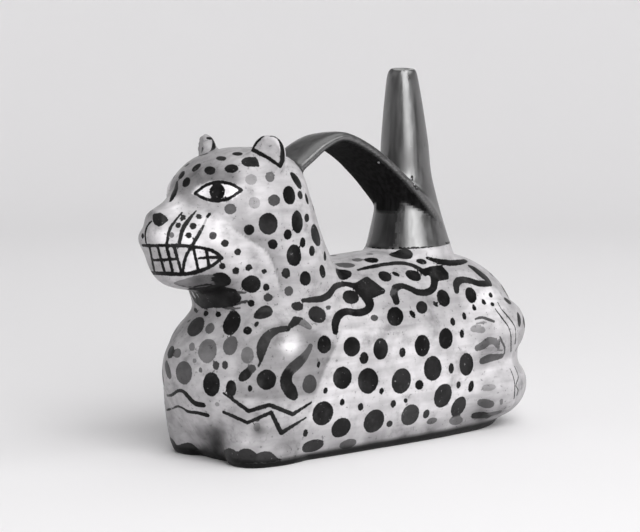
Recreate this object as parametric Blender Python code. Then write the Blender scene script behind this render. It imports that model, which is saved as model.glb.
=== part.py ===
"""A whistling jar: one fired clay piece in the form of a resting spotted cat.

The body is a hollow figure. A strap handle springs from the back of the head and
runs into the front of a tapered spout, whose bore is the only way in.
The head looks along -X, the cat's left side faces -Y, and the jar stands on Z = 0.
"""
import math

import bmesh
import bpy
from mathutils import Matrix, Vector

# Driving dimensions of the figure, in metres: lip to rump, flank to flank, foot to ear tip
FIGURE_LENGTH = 0.2230
FIGURE_WIDTH = 0.077
FIGURE_HEIGHT = 0.148

# Clay wall of the body and head, and the thicker floor that it stands on
WALL = 0.005
FLOOR = 0.006

# Tapered spout, from the back of the body up to its lip
SPOUT_HEIGHT = 0.0895
SPOUT_TIP_DIAMETER = 0.0130
SPOUT_MIDDLE_DIAMETER = 0.0250
SPOUT_FOOT_DIAMETER = 0.0430
SPOUT_BORE = 0.0075
SPOUT_LEAN = math.radians(3.0)
LIP_SLANT = math.radians(6.0)

# Strap handle: its clay and its widths at the head, the top and the spout
STRAP_THICKNESS = 0.0065
STRAP_WIDTH_AT_HEAD = 0.032
STRAP_WIDTH_AT_TOP = 0.029
STRAP_WIDTH_AT_SPOUT = 0.036
STRAP_RISE = 0.0585
STRAP_ROLL = math.radians(-5.0)
STRAP_SQUARENESS = 2.7

# How far below the ground the underside is first trimmed, before its edge is rubbed round
TRIM = 0.0004

# Fineness of the faceted surface
CLAY_GRAIN = 0.0015
CAVITY_GRAIN = 0.0030
OUTER_FACES = 6800
CAVITY_FACES = 1500
RING_POINTS = 40
STEPS_BETWEEN_SECTIONS = 4

# The figure's forms are drawn 223 long, 77 wide and 148 high, and are scaled to its real size
DRAWN_LENGTH = 223.0
DRAWN_WIDTH = 77.0
DRAWN_HEIGHT = 148.0
DRAWN_LIP = -77.0
DRAWN_MIDDLE = DRAWN_LIP + DRAWN_LENGTH / 2
LONG = FIGURE_LENGTH / DRAWN_LENGTH
WIDE = FIGURE_WIDTH / DRAWN_WIDTH
HIGH = FIGURE_HEIGHT / DRAWN_HEIGHT

NEAR, FAR = -1, 1


def place(x, y, z):
    """A drawn point of the figure at its real place."""
    return Vector(((x - DRAWN_MIDDLE) * LONG, y * WIDE, z * HIGH))


def clear_scene():
    for old in list(bpy.data.objects):
        bpy.data.objects.remove(old, do_unlink=True)


def fired_clay():
    material = bpy.data.materials.new("burnished slip on fired clay")
    material.use_nodes = True
    shader = material.node_tree.nodes["Principled BSDF"]
    shader.inputs["Base Color"].default_value = (0.42, 0.42, 0.42, 1)
    shader.inputs["Roughness"].default_value = 0.42
    shader.inputs["Metallic"].default_value = 0.0
    return material


def between(a, b, share):
    return a + (b - a) * share


def smooth_rows(rows, steps):
    """The rows with more rows put between them on a smooth curve through them all."""
    last = len(rows) - 1
    out = []
    for i in range(last):
        before, start, end, after = rows[max(i - 1, 0)], rows[i], rows[i + 1], rows[min(i + 2, last)]
        for step in range(steps):
            t = step / steps
            row = []
            for p0, p1, p2, p3 in zip(before, start, end, after):
                slope_in = (p2 - p0) / 2
                slope_out = (p3 - p1) / 2
                row.append((2 * t**3 - 3 * t**2 + 1) * p1 + (t**3 - 2 * t**2 + t) * slope_in
                           + (3 * t**2 - 2 * t**3) * p2 + (t**3 - t**2) * slope_out)
            out.append(row)
    out.append(list(rows[-1]))
    return out


def rounded_ring(squareness):
    """Points of a unit ring that goes from an ellipse (2) towards a rounded box (4)."""
    ring = []
    for i in range(RING_POINTS):
        turn = math.tau * i / RING_POINTS
        c, s = math.cos(turn), math.sin(turn)
        across = math.copysign(abs(c) ** (2 / squareness), c)
        rise = math.copysign(abs(s) ** (2 / squareness), s)
        ring.append((across, rise))
    return ring


def skin(mesh, rings):
    """Closes a row of rings into one tube with pointed or flat ends."""
    loops = [[mesh.verts.new(point) for point in ring] for ring in rings]
    count = len(loops[0])
    for first, second in zip(loops, loops[1:]):
        for i in range(count):
            j = (i + 1) % count
            mesh.faces.new((first[i], first[j], second[j], second[i]))
    mesh.faces.new(loops[0][::-1])
    mesh.faces.new(loops[-1])


def ellipsoid(mesh, centre, radii, turn=0.0):
    """An egg form of the figure, turned about the upright axis."""
    size = Matrix.Diagonal(Vector((radii[0] * LONG, radii[1] * WIDE, radii[2] * HIGH, 1)))
    matrix = Matrix.Translation(place(*centre)) @ Matrix.Rotation(turn, 4, "Z") @ size
    bmesh.ops.create_uvsphere(mesh, u_segments=RING_POINTS, v_segments=RING_POINTS // 2,
                              radius=1, matrix=matrix)


def lengthwise_loft(mesh, rows, inset=0.0):
    """A form along the figure. A row is x, underside z, top z, half width and squareness."""
    rings = []
    for x, low, high, half, squareness in smooth_rows(rows, STEPS_BETWEEN_SECTIONS):
        middle = place(x, 0, (low + high) / 2)
        up = max((high - low) / 2 * HIGH - inset, CLAY_GRAIN / 2)
        out = max(half * WIDE - inset, CLAY_GRAIN / 2)
        rings.append([middle + Vector((0, out * c, up * s)) for c, s in rounded_ring(squareness)])
    ends = (rings[0], rings[-1])
    for ring, sign in zip(ends, (1, -1)):
        for point in ring:
            point.x += sign * inset
    skin(mesh, rings)


def upright_loft(mesh, rows, y=0.0, inset=0.0):
    """A form that stands up. A row is z, front x, back x, half width and squareness."""
    rings = []
    for z, front, back, half, squareness in smooth_rows(rows, STEPS_BETWEEN_SECTIONS):
        middle = place((front + back) / 2, y, z)
        along = max((back - front) / 2 * LONG - inset, CLAY_GRAIN / 2)
        out = max(half * WIDE - inset, CLAY_GRAIN / 2)
        rings.append([middle + Vector((along * c, out * s, 0)) for c, s in rounded_ring(squareness)])
    for point in rings[-1]:
        point.z -= inset
    skin(mesh, rings)


def trunk(mesh, inset=0.0):
    """Chest, barrel and rump: the underside runs below the ground, where it is cut flat."""
    lengthwise_loft(mesh, (
        (-60.0, 41, 47, 4, 2.0),
        (-58.5, 31, 52, 13, 2.0),
        (-54.0, 20, 58, 21, 2.1),
        (-46.0, 8, 65.5, 28, 2.2),
        (-34.0, -6, 75, 33, 2.4),
        (-10.0, -15, 86, 36, 2.7),
        (32.0, -17, 88, 36, 2.7),
        (62.0, -17, 89.5, 36.5, 2.6),
        (88.0, -15, 88.5, 36, 2.5),
        (107.0, -12, 85.5, 35, 2.4),
        (122.0, -7, 80, 31, 2.2),
        (134.0, 3, 72.5, 23.5, 2.1),
        (142.5, 18, 63, 13, 2.0),
        (146.0, 36, 49, 4, 2.0),
    ), inset)


def neck_and_skull(mesh, inset=0.0):
    """The broad neck narrows into the round skull, flat on top between the ears."""
    upright_loft(mesh, (
        (55.0, -42, 36, 30, 2.2),
        (70.0, -44.5, 31, 31, 2.2),
        (80.0, -47.5, 25.5, 32.5, 2.2),
        (91.0, -51, 18.4, 32, 2.2),
        (102.0, -55, 13, 31.5, 2.2),
        (112.0, -58, 9.4, 31, 2.2),
        (120.0, -58, 6.5, 30, 2.2),
        (128.0, -54.5, 3.5, 28, 2.2),
        (136.0, -46, -2, 22, 2.1),
        (140.5, -33, -13, 11, 2.0),
        (141.3, -25, -21, 2, 2.0),
    ), 0.0, inset)


def jaws(mesh, inset=0.0):
    """The broad lips and jaws, which widen back into the cheeks and the throat."""
    lengthwise_loft(mesh, (
        (-77.2, 99.5, 103.5, 4, 2.0),
        (-76.0, 97.5, 107, 9, 2.1),
        (-73.0, 92, 109.5, 10, 2.2),
        (-70.5, 86, 111, 11, 2.3),
        (-68.0, 82.5, 112.3, 12.5, 2.3),
        (-63.0, 80, 114.2, 16, 2.3),
        (-56.0, 78.5, 116, 20, 2.3),
        (-40.0, 76, 118, 26, 2.2),
        (-28.0, 80, 115, 20, 2.2),
    ), inset)


def bridge_of_the_nose(mesh, inset=0.0):
    """The narrow ridge that runs from the brow down to the nose."""
    lengthwise_loft(mesh, (
        (-75.6, 108, 112, 3, 2.0),
        (-74.2, 103, 114.5, 6.5, 2.1),
        (-70.0, 100, 116.5, 8, 2.2),
        (-64.0, 98, 119.5, 10, 2.2),
        (-57.0, 98, 124.5, 14, 2.2),
        (-46.0, 104, 130, 19, 2.2),
    ), inset)


def face(mesh):
    """The swell round each eye, the cheeks at the corners of the mouth, and the nose."""
    for side in (NEAR, FAR):
        ellipsoid(mesh, (-38.5, side * 13.5, 120.5), (14.5, 11.5, 11), side * math.radians(-45))
        ellipsoid(mesh, (-37, side * 13.2, 97), (24, 13.4, 19), side * math.radians(-12))
    ellipsoid(mesh, (-72, 0, 111.3), (3.9, 6, 3.8))


def ears(mesh):
    """Small round ears, set on the corners of the skull and cupped to the front."""
    for side, reach in ((NEAR, 0.0), (FAR, -0.9)):
        centre = (-27, side * (23 + reach), 138 + reach)
        ellipsoid(mesh, centre, (5.0, 8.8 + reach, 10.0), side * math.radians(-25))


def forelegs(mesh):
    """Shoulder, foreleg and paw on each side, the paws side by side in front."""
    for side, lift in ((NEAR, 3.0), (FAR, 0.0)):
        ellipsoid(mesh, (-23.5, side * 21.5, 43 + lift), (25, 16, 24 + lift / 2))
        upright_loft(mesh, (
            (-4.0, -42, -7, 11.5, 2.5),
            (4.0, -46.5, -5, 13.5, 2.5),
            (14.0, -48.5, -6, 14.5, 2.5),
            (26.0, -49.5, -8, 15.5, 2.5),
            (38.0, -49, -11, 15.5, 2.4),
            (52.0, -43, -18, 12, 2.2),
        ), side * 20.0)


def hind_paws(mesh):
    """Both hind paws are laid along the near side of the rump, one over the other."""
    ellipsoid(mesh, (111.5, -24, 49), (27.5, 15, 17), math.radians(14))
    ellipsoid(mesh, (113.5, -23, 20.5), (27.5, 15.5, 16.5), math.radians(14))


def spout_axis():
    """Foot and direction of the spout, which leans a little towards the head."""
    foot = place(80.4, 0, 88.0)
    return foot, Vector((-math.sin(SPOUT_LEAN), 0, math.cos(SPOUT_LEAN)))


def turned(mesh, profile):
    """A round form about the spout's axis. A row is the height above the foot and the radius."""
    foot, up = spout_axis()
    along = Vector((math.cos(SPOUT_LEAN), 0, math.sin(SPOUT_LEAN)))
    across = Vector((0, 1, 0))
    rings = []
    for height, radius in profile:
        ring = []
        for i in range(RING_POINTS):
            turn = math.tau * i / RING_POINTS
            ring.append(foot + up * height + (along * math.cos(turn) + across * math.sin(turn)) * radius)
        rings.append(ring)
    skin(mesh, rings)


def spout(mesh):
    """A tapered spout on a flaring foot, with a rounded lip."""
    tip, middle, foot = SPOUT_TIP_DIAMETER / 2, SPOUT_MIDDLE_DIAMETER / 2, SPOUT_FOOT_DIAMETER / 2
    top = SPOUT_HEIGHT
    turned(mesh, smooth_rows((
        (-0.30 * top, foot * 0.95),
        (-0.06 * top, foot * 1.04),
        (0.08 * top, between(middle, foot, 0.78)),
        (0.18 * top, between(middle, foot, 0.52)),
        (0.30 * top, between(middle, foot, 0.24)),
        (0.43 * top, middle),
        (0.57 * top, between(tip, middle, 0.88)),
        (0.70 * top, between(tip, middle, 0.68)),
        (0.83 * top, between(tip, middle, 0.44)),
        (0.95 * top, between(tip, middle, 0.18)),
        (0.985 * top, between(tip, middle, 0.04)),
        (top, tip * 0.80),
    ), STEPS_BETWEEN_SECTIONS))


def strap(mesh):
    """The handle: an arch of flat clay from behind the ears to the front of the spout."""
    foot, up = spout_axis()
    crown_height = place(0, 0, 88.5).z + STRAP_RISE - STRAP_THICKNESS / 2
    crown = Vector((place(25.0, 0, 0).x, 0, crown_height))
    head_end = place(-12, 0, 121)
    low_end = foot + up * (SPOUT_HEIGHT * 0.12) - Vector((SPOUT_FOOT_DIAMETER * 0.14, 0, 0))
    # A row is the share of the way to the crown from either end, across and up, then the share
    # of the way from the crown's width to that end's, and how far its edges wrap the spout
    rows = []
    for across, rise, width in (
            (0.0, 0.0, 1.0), (0.25, 0.33, 0.8), (0.53, 0.62, 0.5), (0.75, 0.85, 0.2)):
        x = between(head_end.x, crown.x, across)
        z = between(head_end.z, crown.z, rise)
        rows.append((x, z, between(STRAP_WIDTH_AT_TOP, STRAP_WIDTH_AT_HEAD, width), 0.0))
    rows.append((crown.x, crown.z, STRAP_WIDTH_AT_TOP, 0.0))
    for across, rise, width, wrap in (
            (0.84, 0.976, 0.1, 0.0), (0.59, 0.845, 0.3, 0.0), (0.35, 0.65, 0.6, 0.02),
            (0.20, 0.465, 0.9, 0.09), (0.06, 0.24, 1.0, 0.19), (0.0, 0.0, 0.75, 0.33)):
        x = between(low_end.x, crown.x, across)
        z = between(low_end.z, crown.z, rise)
        wide = between(STRAP_WIDTH_AT_TOP, STRAP_WIDTH_AT_SPOUT, width)
        rows.append((x, z, wide, wrap * SPOUT_FOOT_DIAMETER))
    rows = smooth_rows(rows, STEPS_BETWEEN_SECTIONS)
    rings = []
    for i, (x, z, width, wrap) in enumerate(rows):
        before, after = rows[max(i - 1, 0)], rows[min(i + 1, len(rows) - 1)]
        run = Vector((after[0] - before[0], 0, after[1] - before[1])).normalized()
        roll = Matrix.Rotation(STRAP_ROLL, 3, run)
        out = roll @ Vector((-run.z, 0, run.x))
        side = roll @ Vector((0, 1, 0))
        ring = []
        for c, s in rounded_ring(STRAP_SQUARENESS):
            wrapped = Vector((x + wrap * c * c, 0, z))
            ring.append(wrapped + side * (width / 2 * c) + out * (STRAP_THICKNESS / 2 * s))
        rings.append(ring)
    skin(mesh, rings)


def bore(mesh):
    """The way in: from above the lip down through the spout into the body."""
    tip = SPOUT_BORE / 2
    middle = SPOUT_MIDDLE_DIAMETER / 2 - WALL
    foot = SPOUT_FOOT_DIAMETER / 2 - WALL
    top = SPOUT_HEIGHT
    turned(mesh, (
        (-0.30 * top, foot),
        (0.02 * top, foot * 0.98),
        (0.18 * top, between(middle, foot, 0.5)),
        (0.43 * top, middle),
        (0.83 * top, between(tip, middle, 0.4)),
        (0.96 * top, tip),
        (1.15 * top, tip),
    ))


def lip_cutter(mesh):
    """A block over the lip, whose tilted underside trims it a little aslant."""
    foot, up = spout_axis()
    block = SPOUT_FOOT_DIAMETER
    tilt = Matrix.Rotation(LIP_SLANT, 4, "X") @ Matrix.Rotation(-SPOUT_LEAN, 4, "Y")
    centre = Matrix.Translation(foot + up * (SPOUT_HEIGHT - SPOUT_TIP_DIAMETER * 0.06))
    bmesh.ops.create_cube(mesh, size=block, matrix=centre @ tilt @ Matrix.Translation((0, 0, block / 2)))


def block_below(height):
    """A maker of a block that reaches from far below up to the given height."""
    def block(mesh):
        size = FIGURE_LENGTH * 2
        bmesh.ops.create_cube(mesh, size=size, matrix=Matrix.Translation((0, 0, height - size / 2)))
    return block


def new_object(name, *forms):
    mesh = bmesh.new()
    for form in forms:
        form(mesh)
    bmesh.ops.recalc_face_normals(mesh, faces=mesh.faces)
    data = bpy.data.meshes.new(name)
    mesh.to_mesh(data)
    mesh.free()
    made = bpy.data.objects.new(name, data)
    bpy.context.scene.collection.objects.link(made)
    return made


def join_forms(made, grain):
    join = made.modifiers.new("join the forms", "REMESH")
    join.mode = "VOXEL"
    join.voxel_size = grain


def rub_smooth(made, rubs, faces):
    """Rubs the clay's edges round and keeps about the given number of faces."""
    rub = made.modifiers.new("rub smooth", "SMOOTH")
    rub.factor = 0.5
    rub.iterations = rubs
    facets = made.modifiers.new("facets", "DECIMATE")
    bpy.context.view_layer.update()
    rubbed = made.evaluated_get(bpy.context.evaluated_depsgraph_get())
    facets.ratio = min(1.0, faces / (2 * len(rubbed.data.polygons)))
    facets.use_collapse_triangulate = True


def cut(made, cutter):
    cutter.hide_render = True
    cutter.display_type = "WIRE"
    step = made.modifiers.new("cut by " + cutter.name, "BOOLEAN")
    step.operation = "DIFFERENCE"
    step.solver = "EXACT"
    step.object = cutter


def hollow_forms(mesh):
    """The hollow: the same trunk, neck, head and snout, one wall inside the skin."""
    trunk(mesh, WALL)
    neck_and_skull(mesh, WALL)
    jaws(mesh, WALL)
    bridge_of_the_nose(mesh, WALL)


def build():
    clear_scene()
    jar = new_object("jar", trunk, neck_and_skull, jaws, bridge_of_the_nose, face, ears,
                     forelegs, hind_paws, spout, strap)
    jar.data.materials.append(fired_clay())
    join_forms(jar, CLAY_GRAIN)
    cut(jar, new_object("first trim", block_below(-TRIM)))
    join_forms(jar, CLAY_GRAIN)
    rub_smooth(jar, 8, OUTER_FACES)
    hollow = new_object("hollow", hollow_forms)
    join_forms(hollow, CAVITY_GRAIN)
    rub_smooth(hollow, 3, CAVITY_FACES)
    cut(hollow, new_object("floor of the hollow", block_below(FLOOR)))
    cut(jar, new_object("ground", block_below(0.0)))
    cut(jar, hollow)
    cut(jar, new_object("bore", bore))
    cut(jar, new_object("lip", lip_cutter))


build()
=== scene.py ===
"""The looks of a whistling jar: a resting spotted cat of fired clay, painted with slips and burnished."""

import math
import random

import bmesh
import bpy
import numpy as np
from mathutils import Matrix, Vector
from mathutils.bvhtree import BVHTree


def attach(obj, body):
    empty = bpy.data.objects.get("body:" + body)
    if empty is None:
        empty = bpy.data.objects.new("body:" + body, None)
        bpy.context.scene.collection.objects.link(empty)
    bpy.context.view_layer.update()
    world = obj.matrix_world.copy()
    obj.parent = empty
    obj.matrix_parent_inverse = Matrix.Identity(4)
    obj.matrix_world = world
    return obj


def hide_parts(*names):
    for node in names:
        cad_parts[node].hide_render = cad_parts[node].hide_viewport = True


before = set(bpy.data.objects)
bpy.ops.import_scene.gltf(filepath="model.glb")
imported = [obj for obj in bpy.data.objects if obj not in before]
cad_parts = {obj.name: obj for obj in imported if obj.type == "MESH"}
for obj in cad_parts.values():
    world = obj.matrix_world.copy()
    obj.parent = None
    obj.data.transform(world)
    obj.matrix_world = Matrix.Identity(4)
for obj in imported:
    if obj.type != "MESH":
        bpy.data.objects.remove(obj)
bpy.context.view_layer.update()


# The camera stands on the cat's left and a little before it, level with the spout's lip.
# A long lens draws the jar, and the same lens tells later where each painted mark lies.
IMAGE_WIDTH, IMAGE_HEIGHT = 640, 532
FOCUS_IN_PIXELS = 1990.0
FILM_WIDTH_MM = 36.0
HORIZON_ROW = 70.0
CAMERA_TURN = math.radians(-41.0)
CAMERA_PLACE = Vector((-0.6235, -0.7043, 0.1760))

lens = bpy.data.cameras.new("camera")
lens.sensor_width = FILM_WIDTH_MM
lens.lens = FOCUS_IN_PIXELS / IMAGE_WIDTH * FILM_WIDTH_MM
camera = bpy.data.objects.new("camera", lens)
camera.location = CAMERA_PLACE
tilt_down = math.atan((IMAGE_HEIGHT / 2 - HORIZON_ROW) / FOCUS_IN_PIXELS)
camera.rotation_euler = (math.pi / 2 - tilt_down, 0, CAMERA_TURN)
bpy.context.scene.collection.objects.link(camera)
bpy.context.scene.camera = camera

camera_right = Vector((math.cos(CAMERA_TURN), math.sin(CAMERA_TURN), 0))
level_ahead = Vector((-math.sin(CAMERA_TURN), math.cos(CAMERA_TURN), 0))
camera_ahead = level_ahead * math.cos(tilt_down) - Vector((0, 0, math.sin(tilt_down)))
camera_up = camera_right.cross(camera_ahead)


def sight(pixel):
    """The direction in which the camera sees a pixel."""
    across = (pixel[0] - IMAGE_WIDTH / 2) / FOCUS_IN_PIXELS
    rise = (IMAGE_HEIGHT / 2 - pixel[1]) / FOCUS_IN_PIXELS
    return (camera_ahead + camera_right * across + camera_up * rise).normalized()


# The figure's trunk and legs: thin fired clay, pressed in moulds and luted together while damp.
# Its forms are drawn 223 long, 77 wide and 148 high, and scaled to the jar's real size.
FIGURE_LENGTH = 0.2230
FIGURE_WIDTH = 0.077
FIGURE_HEIGHT = 0.148
DRAWN_LENGTH = 223.0
DRAWN_WIDTH = 77.0
DRAWN_HEIGHT = 148.0
DRAWN_LIP = -77.0
DRAWN_MIDDLE = DRAWN_LIP + DRAWN_LENGTH / 2
LONG = FIGURE_LENGTH / DRAWN_LENGTH
WIDE = FIGURE_WIDTH / DRAWN_WIDTH
HIGH = FIGURE_HEIGHT / DRAWN_HEIGHT
CLAY_GRAIN = 0.0013
RUB_LENGTH = 0.0042
RING_POINTS = 64
STEPS_BETWEEN_SECTIONS = 6
NEAR, FAR = -1, 1


def place(x, y, z):
    """A drawn point of the figure at its real place."""
    return Vector(((x - DRAWN_MIDDLE) * LONG, y * WIDE, z * HIGH))


def between(a, b, share):
    return a + (b - a) * share


def smooth_rows(rows, steps):
    """The rows with more rows put between them on a smooth curve through them all."""
    last = len(rows) - 1
    out = []
    for i in range(last):
        before, start, end, after = rows[max(i - 1, 0)], rows[i], rows[i + 1], rows[min(i + 2, last)]
        for step in range(steps):
            t = step / steps
            row = []
            for p0, p1, p2, p3 in zip(before, start, end, after):
                slope_in = (p2 - p0) / 2
                slope_out = (p3 - p1) / 2
                row.append((2 * t**3 - 3 * t**2 + 1) * p1 + (t**3 - 2 * t**2 + t) * slope_in
                           + (3 * t**2 - 2 * t**3) * p2 + (t**3 - t**2) * slope_out)
            out.append(row)
    out.append(list(rows[-1]))
    return out


def rounded_ring(squareness):
    """Points of a unit ring that goes from an ellipse (2) towards a rounded box (4)."""
    ring = []
    for i in range(RING_POINTS):
        turn = math.tau * i / RING_POINTS
        c, s = math.cos(turn), math.sin(turn)
        across = math.copysign(abs(c) ** (2 / squareness), c)
        rise = math.copysign(abs(s) ** (2 / squareness), s)
        ring.append((across, rise))
    return ring


def skin(mesh, rings):
    """Closes a row of rings into one tube."""
    loops = [[mesh.verts.new(point) for point in ring] for ring in rings]
    count = len(loops[0])
    for first, second in zip(loops, loops[1:]):
        for i in range(count):
            j = (i + 1) % count
            mesh.faces.new((first[i], first[j], second[j], second[i]))
    mesh.faces.new(loops[0][::-1])
    mesh.faces.new(loops[-1])


def ellipsoid(mesh, centre, radii, turn=0.0):
    """An egg form of the figure, turned about the upright axis."""
    size = Matrix.Diagonal(Vector((radii[0] * LONG, radii[1] * WIDE, radii[2] * HIGH, 1)))
    matrix = Matrix.Translation(place(*centre)) @ Matrix.Rotation(turn, 4, "Z") @ size
    bmesh.ops.create_uvsphere(mesh, u_segments=RING_POINTS, v_segments=RING_POINTS // 2,
                              radius=1, matrix=matrix)


def lengthwise_loft(mesh, rows, inset=0.0):
    """A form along the figure. A row is x, underside z, top z, half width and squareness."""
    rings = []
    for x, low, high, half, squareness in smooth_rows(rows, STEPS_BETWEEN_SECTIONS):
        middle = place(x, 0, (low + high) / 2)
        up = max((high - low) / 2 * HIGH - inset, CLAY_GRAIN / 2)
        out = max(half * WIDE - inset, CLAY_GRAIN / 2)
        rings.append([middle + Vector((0, out * c, up * s)) for c, s in rounded_ring(squareness)])
    for ring, sign in zip((rings[0], rings[-1]), (1, -1)):
        for point in ring:
            point.x += sign * inset
    skin(mesh, rings)


def upright_loft(mesh, rows, y=0.0, inset=0.0):
    """A form that stands up. A row is z, front x, back x, half width and squareness."""
    rings = []
    for z, front, back, half, squareness in smooth_rows(rows, STEPS_BETWEEN_SECTIONS):
        middle = place((front + back) / 2, y, z)
        along = max((back - front) / 2 * LONG - inset, CLAY_GRAIN / 2)
        out = max(half * WIDE - inset, CLAY_GRAIN / 2)
        rings.append([middle + Vector((along * c, out * s, 0)) for c, s in rounded_ring(squareness)])
    for point in rings[-1]:
        point.z -= inset
    skin(mesh, rings)


def trunk(mesh, inset=0.0):
    """Chest, barrel and rump: the underside runs below the ground, where it is cut flat."""
    lengthwise_loft(mesh, (
        (-60.0, 41, 47, 4, 2.0),
        (-58.5, 31, 52, 13, 2.0),
        (-54.0, 20, 58, 21, 2.1),
        (-46.0, 8, 65.5, 28, 2.2),
        (-34.0, -6, 75, 33, 2.4),
        (-10.0, -15, 86, 36, 2.7),
        (32.0, -17, 88, 36, 2.7),
        (62.0, -17, 89.5, 36.5, 2.6),
        (88.0, -15, 88.5, 36, 2.5),
        (107.0, -12, 85.5, 35, 2.4),
        (122.0, -7, 80, 31, 2.2),
        (134.0, 3, 72.5, 23.5, 2.1),
        (142.5, 18, 63, 13, 2.0),
        (146.0, 36, 49, 4, 2.0),
    ), inset)


def forelegs(mesh):
    """Shoulder, foreleg and paw on each side, the paws side by side in front."""
    for side, lift in ((NEAR, 3.0), (FAR, 0.0)):
        ellipsoid(mesh, (-23.5, side * 21.5, 43 + lift), (25, 16, 24 + lift / 2))
        upright_loft(mesh, (
            (-4.0, -42, -7, 11.5, 2.5),
            (4.0, -46.5, -5, 13.5, 2.5),
            (14.0, -48.5, -6, 14.5, 2.5),
            (26.0, -49.5, -8, 15.5, 2.5),
            (38.0, -49, -11, 15.5, 2.4),
            (52.0, -43, -18, 12, 2.2),
        ), side * 20.0)


def hind_paws(mesh):
    """Both hind paws are laid along the near side of the rump, one over the other."""
    ellipsoid(mesh, (111.5, -24, 49), (27.5, 15, 17), math.radians(14))
    ellipsoid(mesh, (113.5, -23, 20.5), (27.5, 15.5, 16.5), math.radians(14))


# The head: a broad neck, a round skull, bared teeth and small cupped ears. It was pressed
# in a mould of its own, and the ears and the nose were added by hand.
def neck_and_skull(mesh, inset=0.0):
    """The broad neck narrows into the round skull, flat on top between the ears."""
    upright_loft(mesh, (
        (55.0, -42, 36, 30, 2.2),
        (70.0, -44.5, 31, 31, 2.2),
        (80.0, -47.5, 25.5, 32.5, 2.2),
        (91.0, -51, 18.4, 32, 2.2),
        (102.0, -55, 13, 31.5, 2.2),
        (112.0, -58, 9.4, 31, 2.2),
        (120.0, -58, 6.5, 30, 2.2),
        (128.0, -54.5, 3.5, 28, 2.2),
        (136.0, -46, -2, 22, 2.1),
        (140.5, -33, -13, 11, 2.0),
        (141.3, -25, -21, 2, 2.0),
    ), 0.0, inset)


def jaws(mesh, inset=0.0):
    """The broad lips and jaws, which widen back into the cheeks and the throat."""
    lengthwise_loft(mesh, (
        (-77.2, 99.5, 103.5, 4, 2.0),
        (-76.0, 97.5, 107, 9, 2.1),
        (-73.0, 92, 109.5, 10, 2.2),
        (-70.5, 86, 111, 11, 2.3),
        (-68.0, 82.5, 112.3, 12.5, 2.3),
        (-63.0, 80, 114.2, 16, 2.3),
        (-56.0, 78.5, 116, 20, 2.3),
        (-40.0, 76, 118, 26, 2.2),
        (-28.0, 80, 115, 20, 2.2),
    ), inset)


def bridge_of_the_nose(mesh, inset=0.0):
    """The narrow ridge that runs from the brow down to the nose."""
    lengthwise_loft(mesh, (
        (-75.6, 108, 112, 3, 2.0),
        (-74.2, 103, 114.5, 6.5, 2.1),
        (-70.0, 100, 116.5, 8, 2.2),
        (-64.0, 98, 119.5, 10, 2.2),
        (-57.0, 98, 124.5, 14, 2.2),
        (-46.0, 104, 130, 19, 2.2),
    ), inset)


def face(mesh):
    """The swell round each eye, the cheeks at the corners of the mouth, and the nose."""
    for side in (NEAR, FAR):
        ellipsoid(mesh, (-38.5, side * 13.5, 120.5), (14.5, 11.5, 11), side * math.radians(-45))
        ellipsoid(mesh, (-37, side * 13.2, 97), (24, 13.4, 19), side * math.radians(-12))
    ellipsoid(mesh, (-72, 0, 111.3), (3.9, 6, 3.8))


EAR_TURN = math.radians(-25)
EAR_FORMS = []
for side, reach in ((NEAR, 0.0), (FAR, -0.9)):
    EAR_FORMS.append(((-27, side * (23 + reach), 138 + reach), (5.0, 8.8 + reach, 10.0), side * EAR_TURN))


def ears(mesh):
    """Small round ears on the corners of the skull."""
    for centre, radii, turn in EAR_FORMS:
        ellipsoid(mesh, centre, radii, turn)


# The spout and the strap handle: the spout was turned or rolled, the strap cut from a slab
# and bent from the back of the head into the front of the spout, where its edges wrap it.
SPOUT_HEIGHT = 0.0895
SPOUT_TIP_DIAMETER = 0.0130
SPOUT_MIDDLE_DIAMETER = 0.0250
SPOUT_FOOT_DIAMETER = 0.0430
SPOUT_BORE = 0.0075
SPOUT_LEAN = math.radians(3.0)
LIP_SLANT = math.radians(6.0)
STRAP_THICKNESS = 0.0065
STRAP_WIDTH_AT_HEAD = 0.032
STRAP_WIDTH_AT_TOP = 0.029
STRAP_WIDTH_AT_SPOUT = 0.036
STRAP_RISE = 0.0585
STRAP_ROLL = math.radians(-5.0)
STRAP_SQUARENESS = 2.7

spout_foot = place(80.4, 0, 88.0)
spout_up = Vector((-math.sin(SPOUT_LEAN), 0, math.cos(SPOUT_LEAN)))
spout_ahead = Vector((math.cos(SPOUT_LEAN), 0, math.sin(SPOUT_LEAN)))


def turned(mesh, profile):
    """A round form about the spout's axis. A row is the height above the foot and the radius."""
    rings = []
    for height, radius in profile:
        ring = []
        for i in range(RING_POINTS):
            turn = math.tau * i / RING_POINTS
            out = spout_ahead * math.cos(turn) + Vector((0, 1, 0)) * math.sin(turn)
            ring.append(spout_foot + spout_up * height + out * radius)
        rings.append(ring)
    skin(mesh, rings)


def spout(mesh):
    """A tapered spout on a flaring foot, with a rounded lip."""
    tip, middle, foot = SPOUT_TIP_DIAMETER / 2, SPOUT_MIDDLE_DIAMETER / 2, SPOUT_FOOT_DIAMETER / 2
    top = SPOUT_HEIGHT
    turned(mesh, smooth_rows((
        (-0.30 * top, foot * 0.95),
        (-0.06 * top, foot * 1.04),
        (0.08 * top, between(middle, foot, 0.78)),
        (0.18 * top, between(middle, foot, 0.52)),
        (0.30 * top, between(middle, foot, 0.24)),
        (0.43 * top, middle),
        (0.57 * top, between(tip, middle, 0.88)),
        (0.70 * top, between(tip, middle, 0.68)),
        (0.83 * top, between(tip, middle, 0.44)),
        (0.95 * top, between(tip, middle, 0.18)),
        (0.985 * top, between(tip, middle, 0.04)),
        (top, tip * 0.80),
    ), STEPS_BETWEEN_SECTIONS))


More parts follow.
